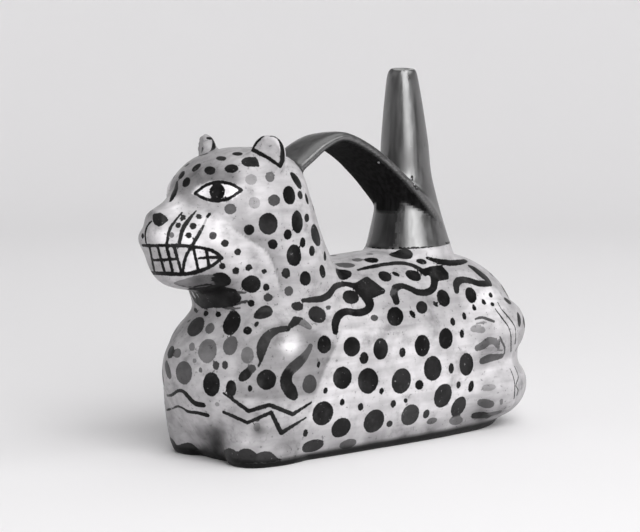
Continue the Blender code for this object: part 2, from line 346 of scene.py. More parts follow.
def strap_rows(steps):
    """The strap's run: middle x and z, width, and how far its edges wrap the spout."""
    crown_height = place(0, 0, 88.5).z + STRAP_RISE - STRAP_THICKNESS / 2
    crown = Vector((place(25.0, 0, 0).x, 0, crown_height))
    head_end = place(-12, 0, 121)
    low_end = spout_foot + spout_up * (SPOUT_HEIGHT * 0.12) - Vector((SPOUT_FOOT_DIAMETER * 0.14, 0, 0))
    rows = []
    for across, rise, width in ((0.0, 0.0, 1.0), (0.25, 0.33, 0.8), (0.53, 0.62, 0.5), (0.75, 0.85, 0.2)):
        x = between(head_end.x, crown.x, across)
        z = between(head_end.z, crown.z, rise)
        rows.append((x, z, between(STRAP_WIDTH_AT_TOP, STRAP_WIDTH_AT_HEAD, width), 0.0))
    rows.append((crown.x, crown.z, STRAP_WIDTH_AT_TOP, 0.0))
    for across, rise, width, wrap in (
            (0.84, 0.976, 0.1, 0.0), (0.59, 0.845, 0.3, 0.0), (0.35, 0.65, 0.6, 0.02),
            (0.20, 0.465, 0.9, 0.09), (0.06, 0.24, 1.0, 0.19), (0.0, 0.0, 0.75, 0.33)):
        x = between(low_end.x, crown.x, across)
        z = between(low_end.z, crown.z, rise)
        wide = between(STRAP_WIDTH_AT_TOP, STRAP_WIDTH_AT_SPOUT, width)
        rows.append((x, z, wide, wrap * SPOUT_FOOT_DIAMETER))
    return smooth_rows(rows, steps)


def strap_sections(steps=STEPS_BETWEEN_SECTIONS):
    """Middle, outward and sideways directions, width and wrap all along the strap."""
    rows = strap_rows(steps)
    sections = []
    for i, (x, z, width, wrap) in enumerate(rows):
        before, after = rows[max(i - 1, 0)], rows[min(i + 1, len(rows) - 1)]
        run = Vector((after[0] - before[0], 0, after[1] - before[1])).normalized()
        roll = Matrix.Rotation(STRAP_ROLL, 3, run)
        out = roll @ Vector((-run.z, 0, run.x))
        side = roll @ Vector((0, 1, 0))
        sections.append((Vector((x, 0, z)), out, side, width, wrap))
    return sections


def strap(mesh):
    rings = []
    for middle, out, side, width, wrap in strap_sections():
        ring = []
        for c, s in rounded_ring(STRAP_SQUARENESS):
            wrapped = middle + Vector((wrap * c * c, 0, 0))
            ring.append(wrapped + side * (width / 2 * c) + out * (STRAP_THICKNESS / 2 * s))
        rings.append(ring)
    skin(mesh, rings)


# Joining: the damp parts are luted into one skin and rubbed smooth. The inside stays hollow
# with a wall of even thickness, and the only way in is the bore of the spout.
WALL = 0.005
FLOOR = 0.006
CAVITY_GRAIN = 0.0030
CAVITY_RUBS = 3
TRIM = 0.0004
SLIPPED, BARE, DARK = 0, 1, 2


def new_object(name, *forms):
    mesh = bmesh.new()
    for form in forms:
        form(mesh)
    bmesh.ops.recalc_face_normals(mesh, faces=mesh.faces)
    data = bpy.data.meshes.new(name)
    mesh.to_mesh(data)
    mesh.free()
    made = bpy.data.objects.new(name, data)
    bpy.context.scene.collection.objects.link(made)
    return made


def settle(made):
    """Puts the result of an object's modifiers into its mesh."""
    depsgraph = bpy.context.evaluated_depsgraph_get()
    data = bpy.data.meshes.new_from_object(made.evaluated_get(depsgraph))
    made.modifiers.clear()
    made.data = data


def join_forms(made, grain, rubs):
    join = made.modifiers.new("join the forms", "REMESH")
    join.mode = "VOXEL"
    join.voxel_size = grain
    join.use_smooth_shade = True
    rub = made.modifiers.new("rub smooth", "SMOOTH")
    rub.factor = 0.5
    rub.iterations = rubs
    settle(made)


def cut(made, cutter):
    """Cuts a form out of the clay, and leaves the cut face as bare clay."""
    for data in (made.data, cutter.data):
        while len(data.materials) < 2:
            data.materials.append(bpy.data.materials["slipped" if not data.materials else "bare"])
    cutter.data.polygons.foreach_set("material_index", [BARE] * len(cutter.data.polygons))
    step = made.modifiers.new("cut by " + cutter.name, "BOOLEAN")
    step.operation = "DIFFERENCE"
    step.solver = "EXACT"
    step.object = cutter
    settle(made)
    bpy.data.objects.remove(cutter, do_unlink=True)


def hollow_forms(mesh):
    """The hollow: the same trunk, neck, head and snout, one wall inside the skin."""
    trunk(mesh, WALL)
    neck_and_skull(mesh, WALL)
    jaws(mesh, WALL)
    bridge_of_the_nose(mesh, WALL)


def bore(mesh):
    """The way in: from above the lip down through the spout into the body."""
    tip = SPOUT_BORE / 2
    middle = SPOUT_MIDDLE_DIAMETER / 2 - WALL
    foot = SPOUT_FOOT_DIAMETER / 2 - WALL
    top = SPOUT_HEIGHT
    turned(mesh, (
        (-0.30 * top, foot),
        (0.02 * top, foot * 0.98),
        (0.18 * top, between(middle, foot, 0.5)),
        (0.43 * top, middle),
        (0.83 * top, between(tip, middle, 0.4)),
        (0.96 * top, tip),
        (1.15 * top, tip),
    ))


def lip_cutter(mesh):
    """A block over the lip, whose tilted underside trims it a little aslant."""
    block = SPOUT_FOOT_DIAMETER
    slant = Matrix.Rotation(LIP_SLANT, 4, "X") @ Matrix.Rotation(-SPOUT_LEAN, 4, "Y")
    centre = Matrix.Translation(spout_foot + spout_up * (SPOUT_HEIGHT - SPOUT_TIP_DIAMETER * 0.06))
    bmesh.ops.create_cube(mesh, size=block, matrix=centre @ slant @ Matrix.Translation((0, 0, block / 2)))


def block_below(height):
    """A maker of a block that reaches from far below up to the given height."""
    def block(mesh):
        size = FIGURE_LENGTH * 2
        bmesh.ops.create_cube(mesh, size=size, matrix=Matrix.Translation((0, 0, height - size / 2)))
    return block


for name in ("slipped", "bare"):
    bpy.data.materials.new(name)

jar = new_object("spotted_cat_jar", trunk, neck_and_skull, jaws, bridge_of_the_nose, face, ears,
                 forelegs, hind_paws, spout, strap)
join_forms(jar, CLAY_GRAIN, 0)
cut(jar, new_object("first trim", block_below(-TRIM)))
join_forms(jar, CLAY_GRAIN, round((RUB_LENGTH / CLAY_GRAIN) ** 2))
hollow = new_object("hollow", hollow_forms)
join_forms(hollow, CAVITY_GRAIN, CAVITY_RUBS)
cut(hollow, new_object("floor of the hollow", block_below(FLOOR)))
cut(jar, new_object("ground", block_below(0.0)))
cut(jar, hollow)
cut(jar, new_object("bore", bore))
cut(jar, new_object("lip", lip_cutter))


# Painting: before it is fired the jar gets pale slips, a dark slip on the spout and handle, and
# dark spots and lines laid on with a brush. Each mark is named by the pixel of the photograph
# that shows it, and the camera's line of sight carries it onto the clay.
SEEN_COSINE = 0.12
SEEN_GAP = 0.0015
SKIN_SEARCH_FROM, SKIN_SEARCH_TO, SKIN_SEARCH_STEPS = 0.80, 1.12, 90


def surface_of(made):
    made.data.calc_loop_triangles()
    corners = [vertex.co for vertex in made.data.vertices]
    triangles = [tuple(triangle.vertices) for triangle in made.data.loop_triangles]
    return BVHTree.FromPolygons(corners, triangles)


surface = surface_of(jar)


def touch(pixel):
    """The point of the jar that a pixel shows, and its outward direction."""
    ahead = sight(pixel)
    point, normal, _, _ = surface.ray_cast(CAMERA_PLACE, ahead)
    if point is not None:
        return point, normal
    best = None
    for step in range(SKIN_SEARCH_STEPS):
        reach = between(SKIN_SEARCH_FROM, SKIN_SEARCH_TO, step / SKIN_SEARCH_STEPS)
        point, normal, _, gap = surface.find_nearest(CAMERA_PLACE + ahead * reach)
        if best is None or gap < best[0]:
            best = (gap, point, normal)
    return best[1], best[2]


def is_seen(point, normal):
    """True where the camera sees that point of the jar."""
    back = CAMERA_PLACE - point
    if normal.dot(back.normalized()) < SEEN_COSINE:
        return False
    hit, _, _, reach = surface.ray_cast(CAMERA_PLACE, -back.normalized())
    return hit is not None and reach > back.length - SEEN_GAP


def side_view(pixels):
    """Where pixels lie on the jar as it is seen square from the side: x and z."""
    return np.array([touch(pixel)[0] for pixel in pixels])[:, (0, 2)]


def beside(flat, line):
    """How far flat points lie behind an open line, and the share of the way along it."""
    nearest = np.full(len(flat), np.inf)
    behind = np.zeros(len(flat))
    along = np.zeros(len(flat))
    for i, (start, end) in enumerate(zip(line, line[1:])):
        run = end - start
        gone = flat - start
        share = np.clip(gone @ run / (run @ run), 0, 1)
        apart = np.linalg.norm(gone - share[:, None] * run, axis=1)
        side = np.sign(run[0] * gone[:, 1] - run[1] * gone[:, 0])
        closer = apart < nearest
        nearest[closer] = apart[closer]
        behind[closer] = (apart * side)[closer]
        along[closer] = ((i + share) / (len(line) - 1))[closer]
    return behind, along


def corners_of(data, what="co"):
    """The place of each corner of a mesh or, with "normal", its outward direction."""
    flat = np.empty(len(data.vertices) * 3)
    data.vertices.foreach_get(what, flat)
    return flat.reshape(-1, 3)


# Small relief: the cheek's edge stands a little proud of the neck, and the ears are cupped.
CHEEK_EDGE = (
    (219, 216), (236.7, 231.7), (250, 240), (261.7, 247.5), (270, 256.7), (274.2, 266.7), (277.5, 278.3),
    (280, 290), (281, 303),
)
CHEEK_FOLD, CHEEK_FOLD_WIDTH = 0.0010, 0.0024
LIP_BEFORE_EDGE, GROOVE_BEHIND_EDGE = CHEEK_FOLD_WIDTH * 0.8, CHEEK_FOLD_WIDTH * 0.6
FOLD_END = 0.18
EAR_CUP, EAR_RIM = 0.0026, 0.80
CUP_STEEPNESS, CUP_REACH = 1.5, 1.3
NECK_FLOOR = 0.060

cheek_edge = side_view(CHEEK_EDGE)


def behind_cheek(corners):
    """Distance behind the cheek's edge, and how fully the edge shows there."""
    behind, along = beside(corners[:, (0, 2)], cheek_edge)
    full = np.clip(np.minimum(along, 1 - along) / FOLD_END, 0, 1)
    return behind, full * (corners[:, 2] > NECK_FLOOR)


corners = corners_of(jar.data)
behind, full = behind_cheek(corners)
lip = np.exp(-((behind + LIP_BEFORE_EDGE) / CHEEK_FOLD_WIDTH) ** 2)
groove = np.exp(-((behind - GROOVE_BEHIND_EDGE) / CHEEK_FOLD_WIDTH) ** 2)
corners += corners_of(jar.data, "normal") * (CHEEK_FOLD * full * (lip - groove))[:, None]
for centre, radii, turn in EAR_FORMS:
    to_ear = np.array(Matrix.Rotation(-turn, 3, "Z"))
    gone = (corners - np.array(place(*centre))) @ to_ear.T
    unit = gone / (radii[0] * LONG, radii[1] * WIDE, radii[2] * HIGH)
    in_cup = np.clip(1 - (unit[:, 1] ** 2 + unit[:, 2] ** 2) / EAR_RIM**2, 0, 1)
    on_front = np.clip(-unit[:, 0] * CUP_STEEPNESS, 0, 1) * (np.abs(unit[:, 0]) < CUP_REACH)
    corners += np.outer(EAR_CUP * np.sqrt(in_cup) * on_front, to_ear[0])
jar.data.vertices.foreach_set("co", corners.ravel())
jar.data.update()
surface = surface_of(jar)


# A dab is one touch of the brush: an ellipse that lies on the clay. A mark is a row of dabs.
STRETCH_LEAST, STRETCH_MOST = 0.60, 1.30
DAB_DEPTH = 1.5
DAB_STEP = 0.3
BEND_STEPS = 6
LEAST_ACROSS = 0.2
FAR_SLIP = 0.003
MIRRORED = np.array((1, -1, 1))


class Dab:
    def __init__(self, point, normal, to_unit, size):
        self.point = np.array(point)
        self.normal = np.array(normal)
        self.to_unit = to_unit
        self.size = size

    def distance(self, points):
        """Distance from the edge of the dab, below nought inside it."""
        gone = points - self.point
        flat = gone @ self.to_unit.T
        off = gone @ self.normal / (DAB_DEPTH * self.size)
        return (np.sqrt((flat**2).sum(1) + off**2) - 1) * self.size

    def on_far_side(self):
        """The same dab on the other side of the cat, set down on the skin there."""
        point, normal, _, _ = surface.find_nearest(Vector(self.point * MIRRORED + (FAR_SLIP, 0, 0)))
        return Dab(point, normal, self.to_unit * MIRRORED, self.size)


def dab_at(pixel, width, height, lean=0.0):
    """A dab that the camera sees as an ellipse of that width and height, in pixels."""
    point, normal = touch(pixel)
    across = normal.cross(Vector((0, 0, 1)))
    if across.length < LEAST_ACROSS:
        across = normal.cross(Vector((1, 0, 0)))
    across.normalize()
    along = normal.cross(across)
    pixels_in_metre = FOCUS_IN_PIXELS / (point - CAMERA_PLACE).dot(camera_ahead)
    frame_on_skin = np.array((across, along))
    seen_frame = pixels_in_metre * frame_on_skin @ np.array((camera_right, camera_up)).T
    turn = math.radians(lean)
    to_ellipse = np.array(((math.cos(turn), -math.sin(turn)), (math.sin(turn), math.cos(turn))))
    to_ellipse = np.diag((2 / width, 2 / height)) @ to_ellipse
    _, strength, axes = np.linalg.svd(to_ellipse @ seen_frame.T)
    widest = max(width, height) / 2 / pixels_in_metre
    radii = np.clip(1 / strength, STRETCH_LEAST * widest, STRETCH_MOST * widest)
    to_unit = np.diag(1 / radii) @ axes @ frame_on_skin
    return Dab(point, normal, to_unit, radii.mean())


class Mark:
    """Dabs of one paint. Pale goes from nought, full dark, to one, worn away."""

    def __init__(self, dabs, pale=0.0):
        self.dabs = dabs
        self.pale = pale


def spot(across, down, width, height, lean=0.0, pale=0.0):
    return Mark([dab_at((across, down), width, height, lean)], pale)


def stroke(points, thickness, pale=0.0, bent=True):
    """A line of the brush through pixels. Thickness is one number, or one for each point."""
    if not isinstance(thickness, tuple):
        thickness = (thickness,) * len(points)
    rows = [(across, down, wide) for (across, down), wide in zip(points, thickness)]
    if bent:
        rows = smooth_rows(rows, BEND_STEPS)
    dabs = []
    for start, end in zip(rows, rows[1:]):
        run = math.hypot(end[0] - start[0], end[1] - start[1])
        steps = max(1, math.ceil(run / (DAB_STEP * min(start[2], end[2]))))
        for step in range(steps):
            across, down, wide = (between(a, b, step / steps) for a, b in zip(start, end))
            dabs.append(dab_at((across, down), wide, wide))
    dabs.append(dab_at(rows[-1][:2], rows[-1][2], rows[-1][2]))
    return Mark(dabs, pale)


def filled(corners, thickness, pale=0.0, outlines=3):
    """A shape filled with paint: its outline, and smaller outlines within."""
    middle = [sum(numbers) / len(corners) for numbers in zip(*corners)]
    dabs = []
    for share in np.linspace(1, 0, outlines, endpoint=False):
        outline = [(between(middle[0], across, share), between(middle[1], down, share))
                   for across, down in corners]
        dabs += stroke(outline + outline[:1], thickness, pale, False).dabs
    return Mark(dabs, pale)


# The head's spots. Each row is across, down, width, height, lean in degrees and paleness.
HEAD_SPOTS = (
    (181.6, 175, 5, 10, 35), (196.3, 167.3, 5.5, 12, 48), (186.2, 182.3, 8, 11, 20),
    (209.8, 170.2, 12, 9, 10),
    (221.1, 158.2, 11, 5, 5), (237.5, 153.8, 11, 4.5, 3), (231.4, 168.4, 14, 9),
    (251.2, 179.3, 12, 11, 0, 0.78), (269.8, 177, 9, 11, -10, 0.5), (230.3, 209, 12, 11, 0, 0.45),
    (254.5, 202.8, 12, 12, 0, 0.8), (274.2, 200.2, 12, 12, 0, 0.35), (289.4, 195.3, 12, 19, -8),
    (296.7, 180.3, 5.5, 20, -32), (300.2, 194.8, 5, 9, -10), (306.8, 199, 2.5, 12, -15),
    (268.5, 223.8, 19, 22, 0, 0.12), (249.2, 229.7, 11, 11), (297.4, 221.8, 11, 23, -3),
    (306.8, 217.8, 5, 9),
    (287.7, 234.5, 8, 11), (273, 244.3, 10, 10), (302.8, 242.6, 5.5, 11), (316, 235.2, 8, 23, -13),
    (294, 255.3, 15, 22), (312, 251, 6, 11), (325, 256, 2.5, 10), (286, 273.2, 9, 11),
    (305.4, 278.4, 11, 15),
    (322.6, 271.6, 6, 14, -8), (288.8, 291.2, 9, 10, 0, 0.4),
)
CHEEK_SPOTS = (
    (213, 235.7, 8, 8, 0, 0.3), (225, 243.4, 8, 8), (237.7, 251.9, 7.5, 7.5), (222.4, 266.4, 6.5, 6.5),
    (235.9, 270.6, 7.5, 7.5), (248.8, 267.7, 7.5, 7.5), (264, 271.3, 6, 6), (221, 280.7, 20, 14, 10),
    (251, 284, 20, 18), (266.3, 287.4, 7, 8), (268, 297.5, 9, 8, 0, 0.3), (251, 303.2, 7, 7),
)
CHEST_SPOTS = (
    (196, 309.8, 3, 3), (206, 313.5, 6, 6), (218.2, 314.4, 6.5, 6.5), (263.3, 313.3, 20, 11, -15, 0.15),
    (247.4, 330.4, 10, 8), (256.5, 324, 4, 6.5, 30), (195.6, 326.3, 16.5, 22.5, 28, 0.3),
    (210, 328.2, 9.5, 11.5, 20, 0.5), (231.9, 323.4, 17, 24, 25, 0.12), (207.2, 350.4, 18.5, 24, 12, 0.58),
    (230.5, 345.5, 14.5, 19.5, 18, 0.5),
    (192, 346.6, 6.5, 8.5, 0, 0.62), (177, 353, 11, 10, 0, 0.5), (170.6, 352, 7, 13, 15, 0.15),
    (167.6, 370, 5.5, 19, -15, 0.45), (183.4, 373, 17.5, 23.5, 0, 0.45), (194.5, 360.8, 4, 5, 0, 0.68),
    (200.4, 370, 4, 6, 0, 0.5), (216, 365.4, 7, 9, 0, 0.3), (225, 365, 6, 9, 0, 0.3),
    (211.2, 384.6, 17.5, 24.5),
    (231.2, 388.3, 11, 16.5), (217.3, 404.3, 5, 5, 0, 0.72), (257, 427, 7, 9, 10, 0.78),
)
SHOULDER_SPOTS = (
    (247.3, 355.2, 13, 17, 0, 0.66), (245.4, 375, 10, 17, 48, 0.15), (251.4, 369, 9, 10, 48, 0.4),
    (266.8, 379.6, 19.5, 20.5), (250, 388.4, 5, 7), (309.3, 383.8, 14.5, 19.5, 0, 0.42),
    (324.3, 344.6, 14, 18.5),
    (318.5, 364.6, 3.5, 7, 10), (325.5, 390.5, 5, 7),
    (297.4, 306.2, 12.5, 9, 10, 0.12), (317.4, 314.6, 19, 15, 35, 0.12),
)
FLANK_SPOTS = (
    (352, 346.7, 17, 20), (364, 358, 9, 12), (380.6, 349, 15, 22), (402.5, 352.3, 7, 10),
    (422.4, 345.6, 16, 22),
    (445.8, 338.6, 15, 21), (432.9, 368.4, 19, 25), (451.2, 368.4, 6, 11), (466.3, 364.3, 15, 23),
    (342.3, 377.8, 19, 23), (368, 381, 21, 26), (401.4, 381, 20, 26, 10, 0.12), (419.3, 385, 9, 10),
    (443, 395.7, 18, 25, 20, 0.15), (458.4, 385, 5, 8), (471, 386.2, 6, 12, 10),
    (458.4, 406.8, 14, 22, 30, 0.2),
    (426.2, 414, 7, 10, 20, 0.2), (410.2, 415, 18, 22, 30, 0.25), (405.6, 400.6, 4, 5),
    (393.3, 403.8, 6, 8),
    (381.5, 391, 5, 7), (342.3, 402.2, 5, 8), (360.7, 407, 6, 8), (374, 421.2, 20, 25, 30, 0.15),
    (389.5, 423.7, 7, 7, 0, 0.2), (323, 413.5, 21, 25, 15), (341, 427.8, 18, 22, 40, 0.12),
    (305.4, 433, 5, 8, 10, 0.15), (312.5, 446, 23, 10, -10, 0.25), (348, 444, 18, 8, -10, 0.5),
    (432, 421, 12, 6, -10, 0.5),
)
BACK_SPOTS = (
    (341.4, 274.2, 24, 10, 10), (385, 276.2, 14, 10, 20), (395.7, 274, 9.5, 3.6, 25),
    (371.4, 260, 15, 5.6, 3),
    (357.5, 259.8, 11, 3.5, 0, 0.5), (369.6, 254, 8, 1.8, 0, 0.6), (345, 265, 20, 3.2, 0, 0.45),
    (400.8, 255.3, 24, 8, 5), (421.3, 261.7, 11.5, 5, 14),
    (395.3, 316.4, 17, 19, -10), (421.8, 307.5, 12, 13, -30), (412.6, 314.2, 4.6, 10, -40),
    (435.5, 304, 4, 8.5, -52), (443.3, 298, 13, 18, -25), (470.9, 295, 11.5, 16.5, -20),
    (474.1, 307.8, 4, 7, -25),
    (483.7, 302, 3.8, 6.5, -30), (490.7, 295, 4.8, 6, -20), (492.4, 304.2, 5, 3.8, 35),
    (464.2, 316, 4.5, 8.5, -15),
    (452.7, 321.6, 5, 8.5, -15), (461.9, 333.8, 5, 9.5, -5), (507.6, 300.6, 6.5, 10.5, -32),
    (519.2, 319.5, 2.8, 15, -5),
    (374.3, 317.8, 8, 6.5, 20, 0.35), (350.8, 297, 17, 13.5, 20), (413.3, 275.3, 17, 10.5, 22),
    (328.3, 307.5, 6, 5, 0, 0.35), (456, 420.5, 17, 2.6, 8, 0.62),
)
ALL_SPOTS = HEAD_SPOTS + CHEEK_SPOTS + CHEST_SPOTS + SHOULDER_SPOTS + FLANK_SPOTS + BACK_SPOTS
marks = [spot(*row) for row in ALL_SPOTS]

# The lines on the face: outlined eyes, nose, whiskers, and lips round the bared teeth.
LINE = 3.5
UPPER_LID = ((195, 193.5), (203, 187), (212, 183), (221, 182), (232, 184.5), (241.5, 190))
LOWER_LID = ((195, 193.5), (202, 197.5), (210, 200), (219, 200.8), (230, 198), (241.5, 190))
IRIS = (217.2, 191.5, 16, 16.5)
FAR_EYE = ((177, 182), (176, 187), (174.6, 192), (172.6, 197), (170.6, 201))
NOSE = ((154.6, 215.4), (159.5, 214.2), (164, 217), (166.4, 219.8), (162.5, 223), (159, 224.6),
        (155.6, 222.5), (154.4, 218.5))
LIP_PARTING = ((151, 221.6), (146.9, 227), (145.2, 234), (146, 242.6))
WHISKERS = (
    (((181.8, 212.7), (174.6, 221.6), (169.3, 230.5), (167, 243)), (1.8, 2.8, 3.2, 3.0)),
    (((196, 211), (188, 220.7), (182.7, 229.6), (179.6, 242)), (2.0, 4.2, 4.6, 3.8)),
    (((209.6, 213.8), (207, 217)), 2.8),
    (((203.6, 225.5), (198.6, 234.6), (193.4, 243.4)), (2.2, 3.6, 4.2)),
)
FAINT_WHISKER = ((207, 217), (203.6, 225.5))
WHISKER_DOTS = ((183, 217.6, 5, 7, 30), (178.2, 225.2, 5, 6, 30), (172, 235, 4.5, 6, 0, 0.45),
                (198.8, 216.8, 7, 5.5), (193.2, 226, 7, 7), (188.7, 235.4, 7, 6.5))
UPPER_LIP = ((142.5, 245.5), (156, 245.6), (170, 245.5), (185, 245.8), (199.6, 247.5), (213, 251), (222, 258))
LOWER_LIP = ((152, 273), (168, 273.8), (185, 274), (200, 271), (213, 265), (222, 258))
BITE_FRONT = ((154, 260.2), (165, 259.6), (176, 259))
BITE_BACK = ((199, 258.2), (209, 257.6), (219, 257.4))
TEETH = (
    ((149.5, 246.5), (154.5, 272)), ((157.5, 246.5), (164.5, 272)), ((166.6, 246.5), (172.8, 272.5)),
    ((174, 246.5), (181.3, 272)), ((190.7, 247.5), (185, 259), (182.8, 272)),
    ((193.4, 248), (196, 260), (198.3, 270)), ((206, 249), (207.6, 258), (209, 267)),
)
face_lines = [stroke(UPPER_LID, LINE), stroke(LOWER_LID, LINE), spot(*IRIS),
              filled(NOSE, 4.0),
              stroke(UPPER_LIP, LINE), stroke(LOWER_LIP, (4.4, 4.4, 4.2, 4.0, 3.6, 3.2)),
              stroke(BITE_FRONT, LINE * 0.9), stroke(BITE_BACK, LINE * 0.8)]
face_lines += [stroke(points, thickness) for points, thickness in WHISKERS]
face_lines += [stroke(points, LINE * 0.95) for points in TEETH]
face_lines += [spot(*row) for row in WHISKER_DOTS]
middle_lines = [stroke(LIP_PARTING, 2.3), spot(142.6, 236, 3, 6), stroke(FAINT_WHISKER, 2.0, 0.75),
                stroke(FAR_EYE, (3, 6, 7, 6, 3))]

# The ears are outlined on their rims, the near one also along its foot.
NEAR_EAR_RIM = ((252, 149), (256.5, 142.5), (262, 137), (268, 134.4), (273.5, 135), (278, 138.3),
                (281.8, 145.5), (283, 154), (282.6, 160.5), (280.4, 166.2))
NEAR_EAR_FOOT = ((252, 149.4), (260, 153.4), (271, 159.8), (280.2, 166.6))
FAR_EAR_RIM = ((207.5, 138), (212, 138.6), (214, 142), (213.8, 147), (211.5, 150.5), (206.5, 152.8))
ear_lines = [stroke(NEAR_EAR_RIM, (2.4, 2.0, 2.2, 2.0, 2.6, 3.2, 3.8, 4.4, 4.2, 3.6)),
             stroke(NEAR_EAR_FOOT, (3.6, 4.2, 3.8, 3.2)), stroke(FAR_EAR_RIM, (2.4, 3.6, 4.4, 4.2, 3.0, 1.6))]

# The curling bands on the shoulder and back: each has a broad cap, and two of them ring a spot.
SHOULDER_BANDS = (
    (((288, 328.5), (278, 330), (269.5, 334.5), (263.5, 343.5), (261, 352.5), (260.8, 361)),
     (5.5, 6.5, 9.5, 11.5, 9, 3), 0.1),
    (((261, 360), (258.6, 366)), 2.4, 0.2),
    (((310.5, 346), (308.5, 350.5), (303.5, 358)), (5, 6.5, 9), 0.55),
    (((303.5, 358), (297.5, 363.8), (291, 369.5)), (9, 11, 11), 0.36),
    (((291, 369.5), (286.8, 376), (286.4, 384), (290.6, 391.5), (294, 396)), (10, 11.5, 12.5, 13.5, 9), 0.08),
)
BACK_BANDS = (
    (((303, 300.5), (314, 299.5), (322, 298.5), (329, 294.5), (335.5, 286.5), (345, 284), (354, 286)),
     (4.5, 6, 7, 8, 7, 5.5, 6.5), 0.12),
    (((366, 297), (370, 304), (366.5, 310.5), (357, 312.8), (346, 311.5), (338.5, 316), (335.4, 323.5),
      (335.6, 332)),
     (10, 9, 8, 7.5, 7.5, 8.5, 8, 6), 0.05),
    (((358, 270), (371, 266.8), (387, 264), (400, 263), (410, 264.4), (418.5, 268.5), (425, 273)),
     (3, 5, 5.4, 5.2, 5.6, 6, 7), 0.05),
    (((434.4, 279), (433.4, 287.5), (427.6, 292), (418.3, 292.3), (410, 288.5), (401.7, 285.8), (395.2, 288)),
     (8.5, 8, 7.2, 6.6, 6, 6.4, 7.4), 0.08),
    (((395.2, 288), (393.6, 294)), (7.4, 8), 0.38),
    (((394.6, 295), (396.6, 301.5)), (8, 7), 0.1),
    (((427, 257.8), (436.7, 260.8), (450, 263), (460, 262), (465.5, 260.5)), (2.8, 5, 6.5, 7, 5.5), 0.05),
    (((469.5, 266.3), (474.5, 269), (480, 273.4), (486.5, 278.5), (489.5, 281.5)),
     (4, 8.5, 9.5, 8.5, 6), 0.05),
    (((489.5, 283), (480, 283.6), (470, 280.8), (461.7, 279.6), (456.5, 283.5), (456.7, 291)),
     (8, 7, 7, 7.5, 8, 6), 0.1),
)
CAPS = (
    (((354.6, 286.6), (367.2, 279.2), (382.6, 291), (374, 294.6), (363, 295.4)), 6, 0.0),
    (((427, 270.2), (431.6, 268.6), (441, 268), (446, 273.4), (446.2, 277), (435, 279)), 6, 0.0),
    (((291, 325.4), (295, 319.2), (300, 320)), 6, 0.15),
    (((300, 320), (304, 322), (309.4, 327.4), (301, 323)), 4.5, 0.6),
)
LONG_SPOTS = ((((247, 161.6), (253.5, 162.8)), (11.5, 11), 0.12),)
bands = [stroke(*row) for row in SHOULDER_BANDS + BACK_BANDS + LONG_SPOTS] + [filled(*row) for row in CAPS]

# The cat wears bracelets: sharp zigzags on the near foreleg, soft waves on the far one, and
# pairs of thin rings on the hind legs. Its claws are dark patches at the toes.
ZIGZAGS = (
    (((223.2, 393), (236, 402), (248.8, 411), (269.6, 404.8), (292.7, 414.4), (311.4, 402.4)),
     (2.2, 3.4, 4.4, 4.2, 4.6, 2.0)),
    (((223.4, 412), (247.5, 422.8), (271, 412.4), (281.4, 433), (305.8, 417.6)), (3.2, 3.6, 4.0, 4.6, 2.4)),
)
WAVES = (
    (((166.8, 395.6), (172, 395), (178, 391), (183.5, 391.6), (188.8, 397.4), (195, 403.4), (203.4, 405.2)),
     (2.4, 3.0, 3.8, 4.2, 5.0, 6.0, 5.6)),
    (((166.8, 410), (172, 408.6), (178, 406.4), (183.5, 408.5), (188, 411.5), (198, 413), (207.4, 415.4)),
     (2.0, 2.4, 2.4, 3.0, 3.6, 4.2, 4.4)),
)
THIN_RINGS = (
    ((497.8, 302.5), (501.3, 308.8), (508.6, 317.5), (514.6, 326.3), (515.8, 335), (515, 344.4)),
    ((495.4, 309), (502.5, 318.8), (508.4, 326.9), (510.8, 335), (511, 342.5), (511, 351.3)),
    ((510, 368.8), (512, 373), (514.6, 382.5), (514.6, 392.5), (514, 398.8)),
    ((514.6, 366.3), (517.6, 373.8), (518.2, 378), (516, 385), (518, 390), (517, 395)),
)
rings = [stroke(points, thickness, 0.05, False) for points, thickness in ZIGZAGS]
rings += [stroke(*row) for row in WAVES]
rings += [stroke(points, 1.5, 0.25) for points in THIN_RINGS]
CLAWS = (
    (((167.5, 441), (171.5, 442.5), (175, 448), (178, 452)), (7, 11, 10, 8), 0.28),
    (((180, 449.5), (188, 449), (196, 451.5)), (10, 13, 9), 0.3),
    (((176, 455), (188, 457.5), (200, 459)), (7, 8, 6), 0.25),
    (((226, 453.5), (231, 453), (236, 457)), (8, 10, 9), 0.3),
    (((240, 455), (247, 454.5), (254, 458)), (9, 12.5, 10), 0.26),
    (((259, 458), (266, 457), (273, 460)), (9, 12, 9), 0.32),
    (((229, 459), (243, 463), (258, 465), (272, 463.5), (280, 460.5)), (8, 9, 9, 7, 4), 0.2),
)
TOES = (
    (((475.6, 319), (482.5, 317.6), (494, 321.5)), (2.2, 3.2, 2.6), 0.35),
    (((477, 323.5), (484, 322.5)), (2.0, 3.0), 0.66),
    (((472.5, 329), (477, 328.5), (482.5, 330)), (5, 8, 6), 0.7),
    (((477.5, 348), (483, 345.5), (489, 341)), (6.5, 8, 8), 0.5),
    (((489, 341), (494.5, 341.5), (498, 346)), (8, 7, 5), 0.6),
    (((482, 361), (488.5, 358.4), (495.5, 357), (502, 356)), (6.5, 8.5, 7.5, 5.5), 0.42),
    (((500, 336.5), (502.4, 342.5), (504.6, 347.5), (504.4, 354)), (1.6, 2.4, 2.4, 2.0), 0.42),
    (((500, 340), (498, 344)), 2.4, 0.65), (((498, 350), (502, 350.5)), 2.0, 0.65),
    (((484.5, 388), (489, 387.6), (493.5, 387)), (6, 6.5, 5), 0.78),
    (((480.5, 402.5), (485.5, 403.6), (491, 404.6)), (7, 9.5, 7.5), 0.52),
    (((474, 415.5), (482, 415), (488.5, 416)), (6.5, 9, 8), 0.2),
    (((488, 415), (495, 413.5), (500, 412)), (8, 7, 5), 0.55),
    (((501.3, 400.6), (501.4, 403)), 3.8, 0.66),
)
